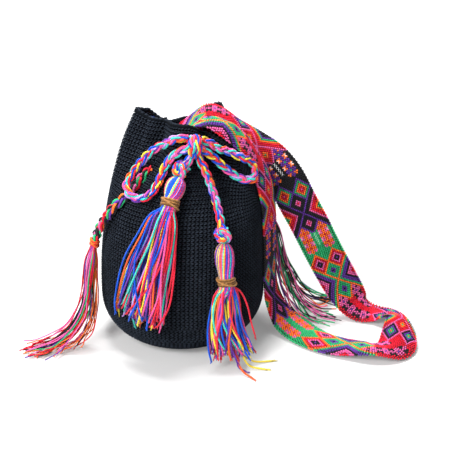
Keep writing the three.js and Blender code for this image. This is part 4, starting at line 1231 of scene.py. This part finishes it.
camera = bpy.data.objects.new("camera", bpy.data.cameras.new("camera"))
camera.data.lens = LENS
camera.data.sensor_width = SENSOR
camera.location = CAMERA_PLACE
camera.rotation_euler = (CAMERA_TILT, 0, 0)
bpy.context.scene.collection.objects.link(camera)
bpy.context.scene.camera = camera
bpy.context.scene.view_settings.view_transform = "Standard"


def seen_directly(tree):
    """1 for rays from the camera, from mirrors and through glass, 0 for the light that falls on the bag."""
    path = add_node(tree, "ShaderNodeLightPath").outputs
    sharp = add_node(tree, "ShaderNodeMath", {0: path["Is Camera Ray"], 1: path["Is Glossy Ray"]},
                     operation="ADD")
    clear = add_node(tree, "ShaderNodeMath", {0: sharp.outputs[0], 1: path["Is Transmission Ray"]},
                     operation="ADD", use_clamp=True)
    return clear.outputs[0]


def white_floor():
    material = bpy.data.materials.new("floor_white")
    material.use_nodes = True
    tree = material.node_tree
    tree.nodes.clear()
    matt = add_node(tree, "ShaderNodeBsdfDiffuse", {"Color": (FLOOR_GREY, FLOOR_GREY, FLOOR_GREY, 1)})
    places = add_node(tree, "ShaderNodeTexCoord")
    distance = add_node(tree, "ShaderNodeVectorMath", {0: places.outputs["Object"]}, operation="LENGTH")
    lift = add_node(tree, "ShaderNodeMapRange",
                    {"Value": distance.outputs["Value"], "From Min": GLOW_REACH[0], "From Max": GLOW_REACH[1],
                     "To Min": FLOOR_GLOW[0], "To Max": FLOOR_GLOW[1]})
    glow = add_node(tree, "ShaderNodeMath", {0: seen_directly(tree), 1: lift.outputs["Result"]},
                    operation="MULTIPLY")
    white = add_node(tree, "ShaderNodeEmission", {"Strength": glow.outputs[0]})
    both = add_node(tree, "ShaderNodeAddShader", {0: matt.outputs[0], 1: white.outputs[0]})
    add_node(tree, "ShaderNodeOutputMaterial", {"Surface": both.outputs[0]})
    return material


floor_mesh = bpy.data.meshes.new("floor")
corners = [(FLOOR_REACH * x, FLOOR_REACH * y, 0) for x, y in ((-1, -1), (1, -1), (1, 1), (-1, 1))]
floor_mesh.from_pydata(corners, [], [(0, 1, 2, 3)])
floor_mesh.materials.append(white_floor())
floor = bpy.data.objects.new("floor", floor_mesh)
bpy.context.scene.collection.objects.link(floor)

world = bpy.data.worlds.new("studio")
bpy.context.scene.world = world
world.use_nodes = True
tree = world.node_tree
sky = tree.nodes["Background"]
sky.inputs["Color"].default_value = (1, 1, 1, 1)
strength = add_node(tree, "ShaderNodeMapRange",
                    {"Value": seen_directly(tree), "To Min": SKY_LIGHT, "To Max": 1.0})
tree.links.new(strength.outputs["Result"], sky.inputs["Strength"])

for name, place, size, power in LAMPS:
    lamp = bpy.data.objects.new(name, bpy.data.lights.new(name, "AREA"))
    lamp.data.energy = power
    lamp.data.size = size
    lamp.location = place
    x, y, z = np.array(AIM) - np.array(place)
    lamp.rotation_euler = (math.atan2(math.hypot(x, y), -z), 0, math.atan2(y, x) - math.pi / 2)
    bpy.context.scene.collection.objects.link(lamp)
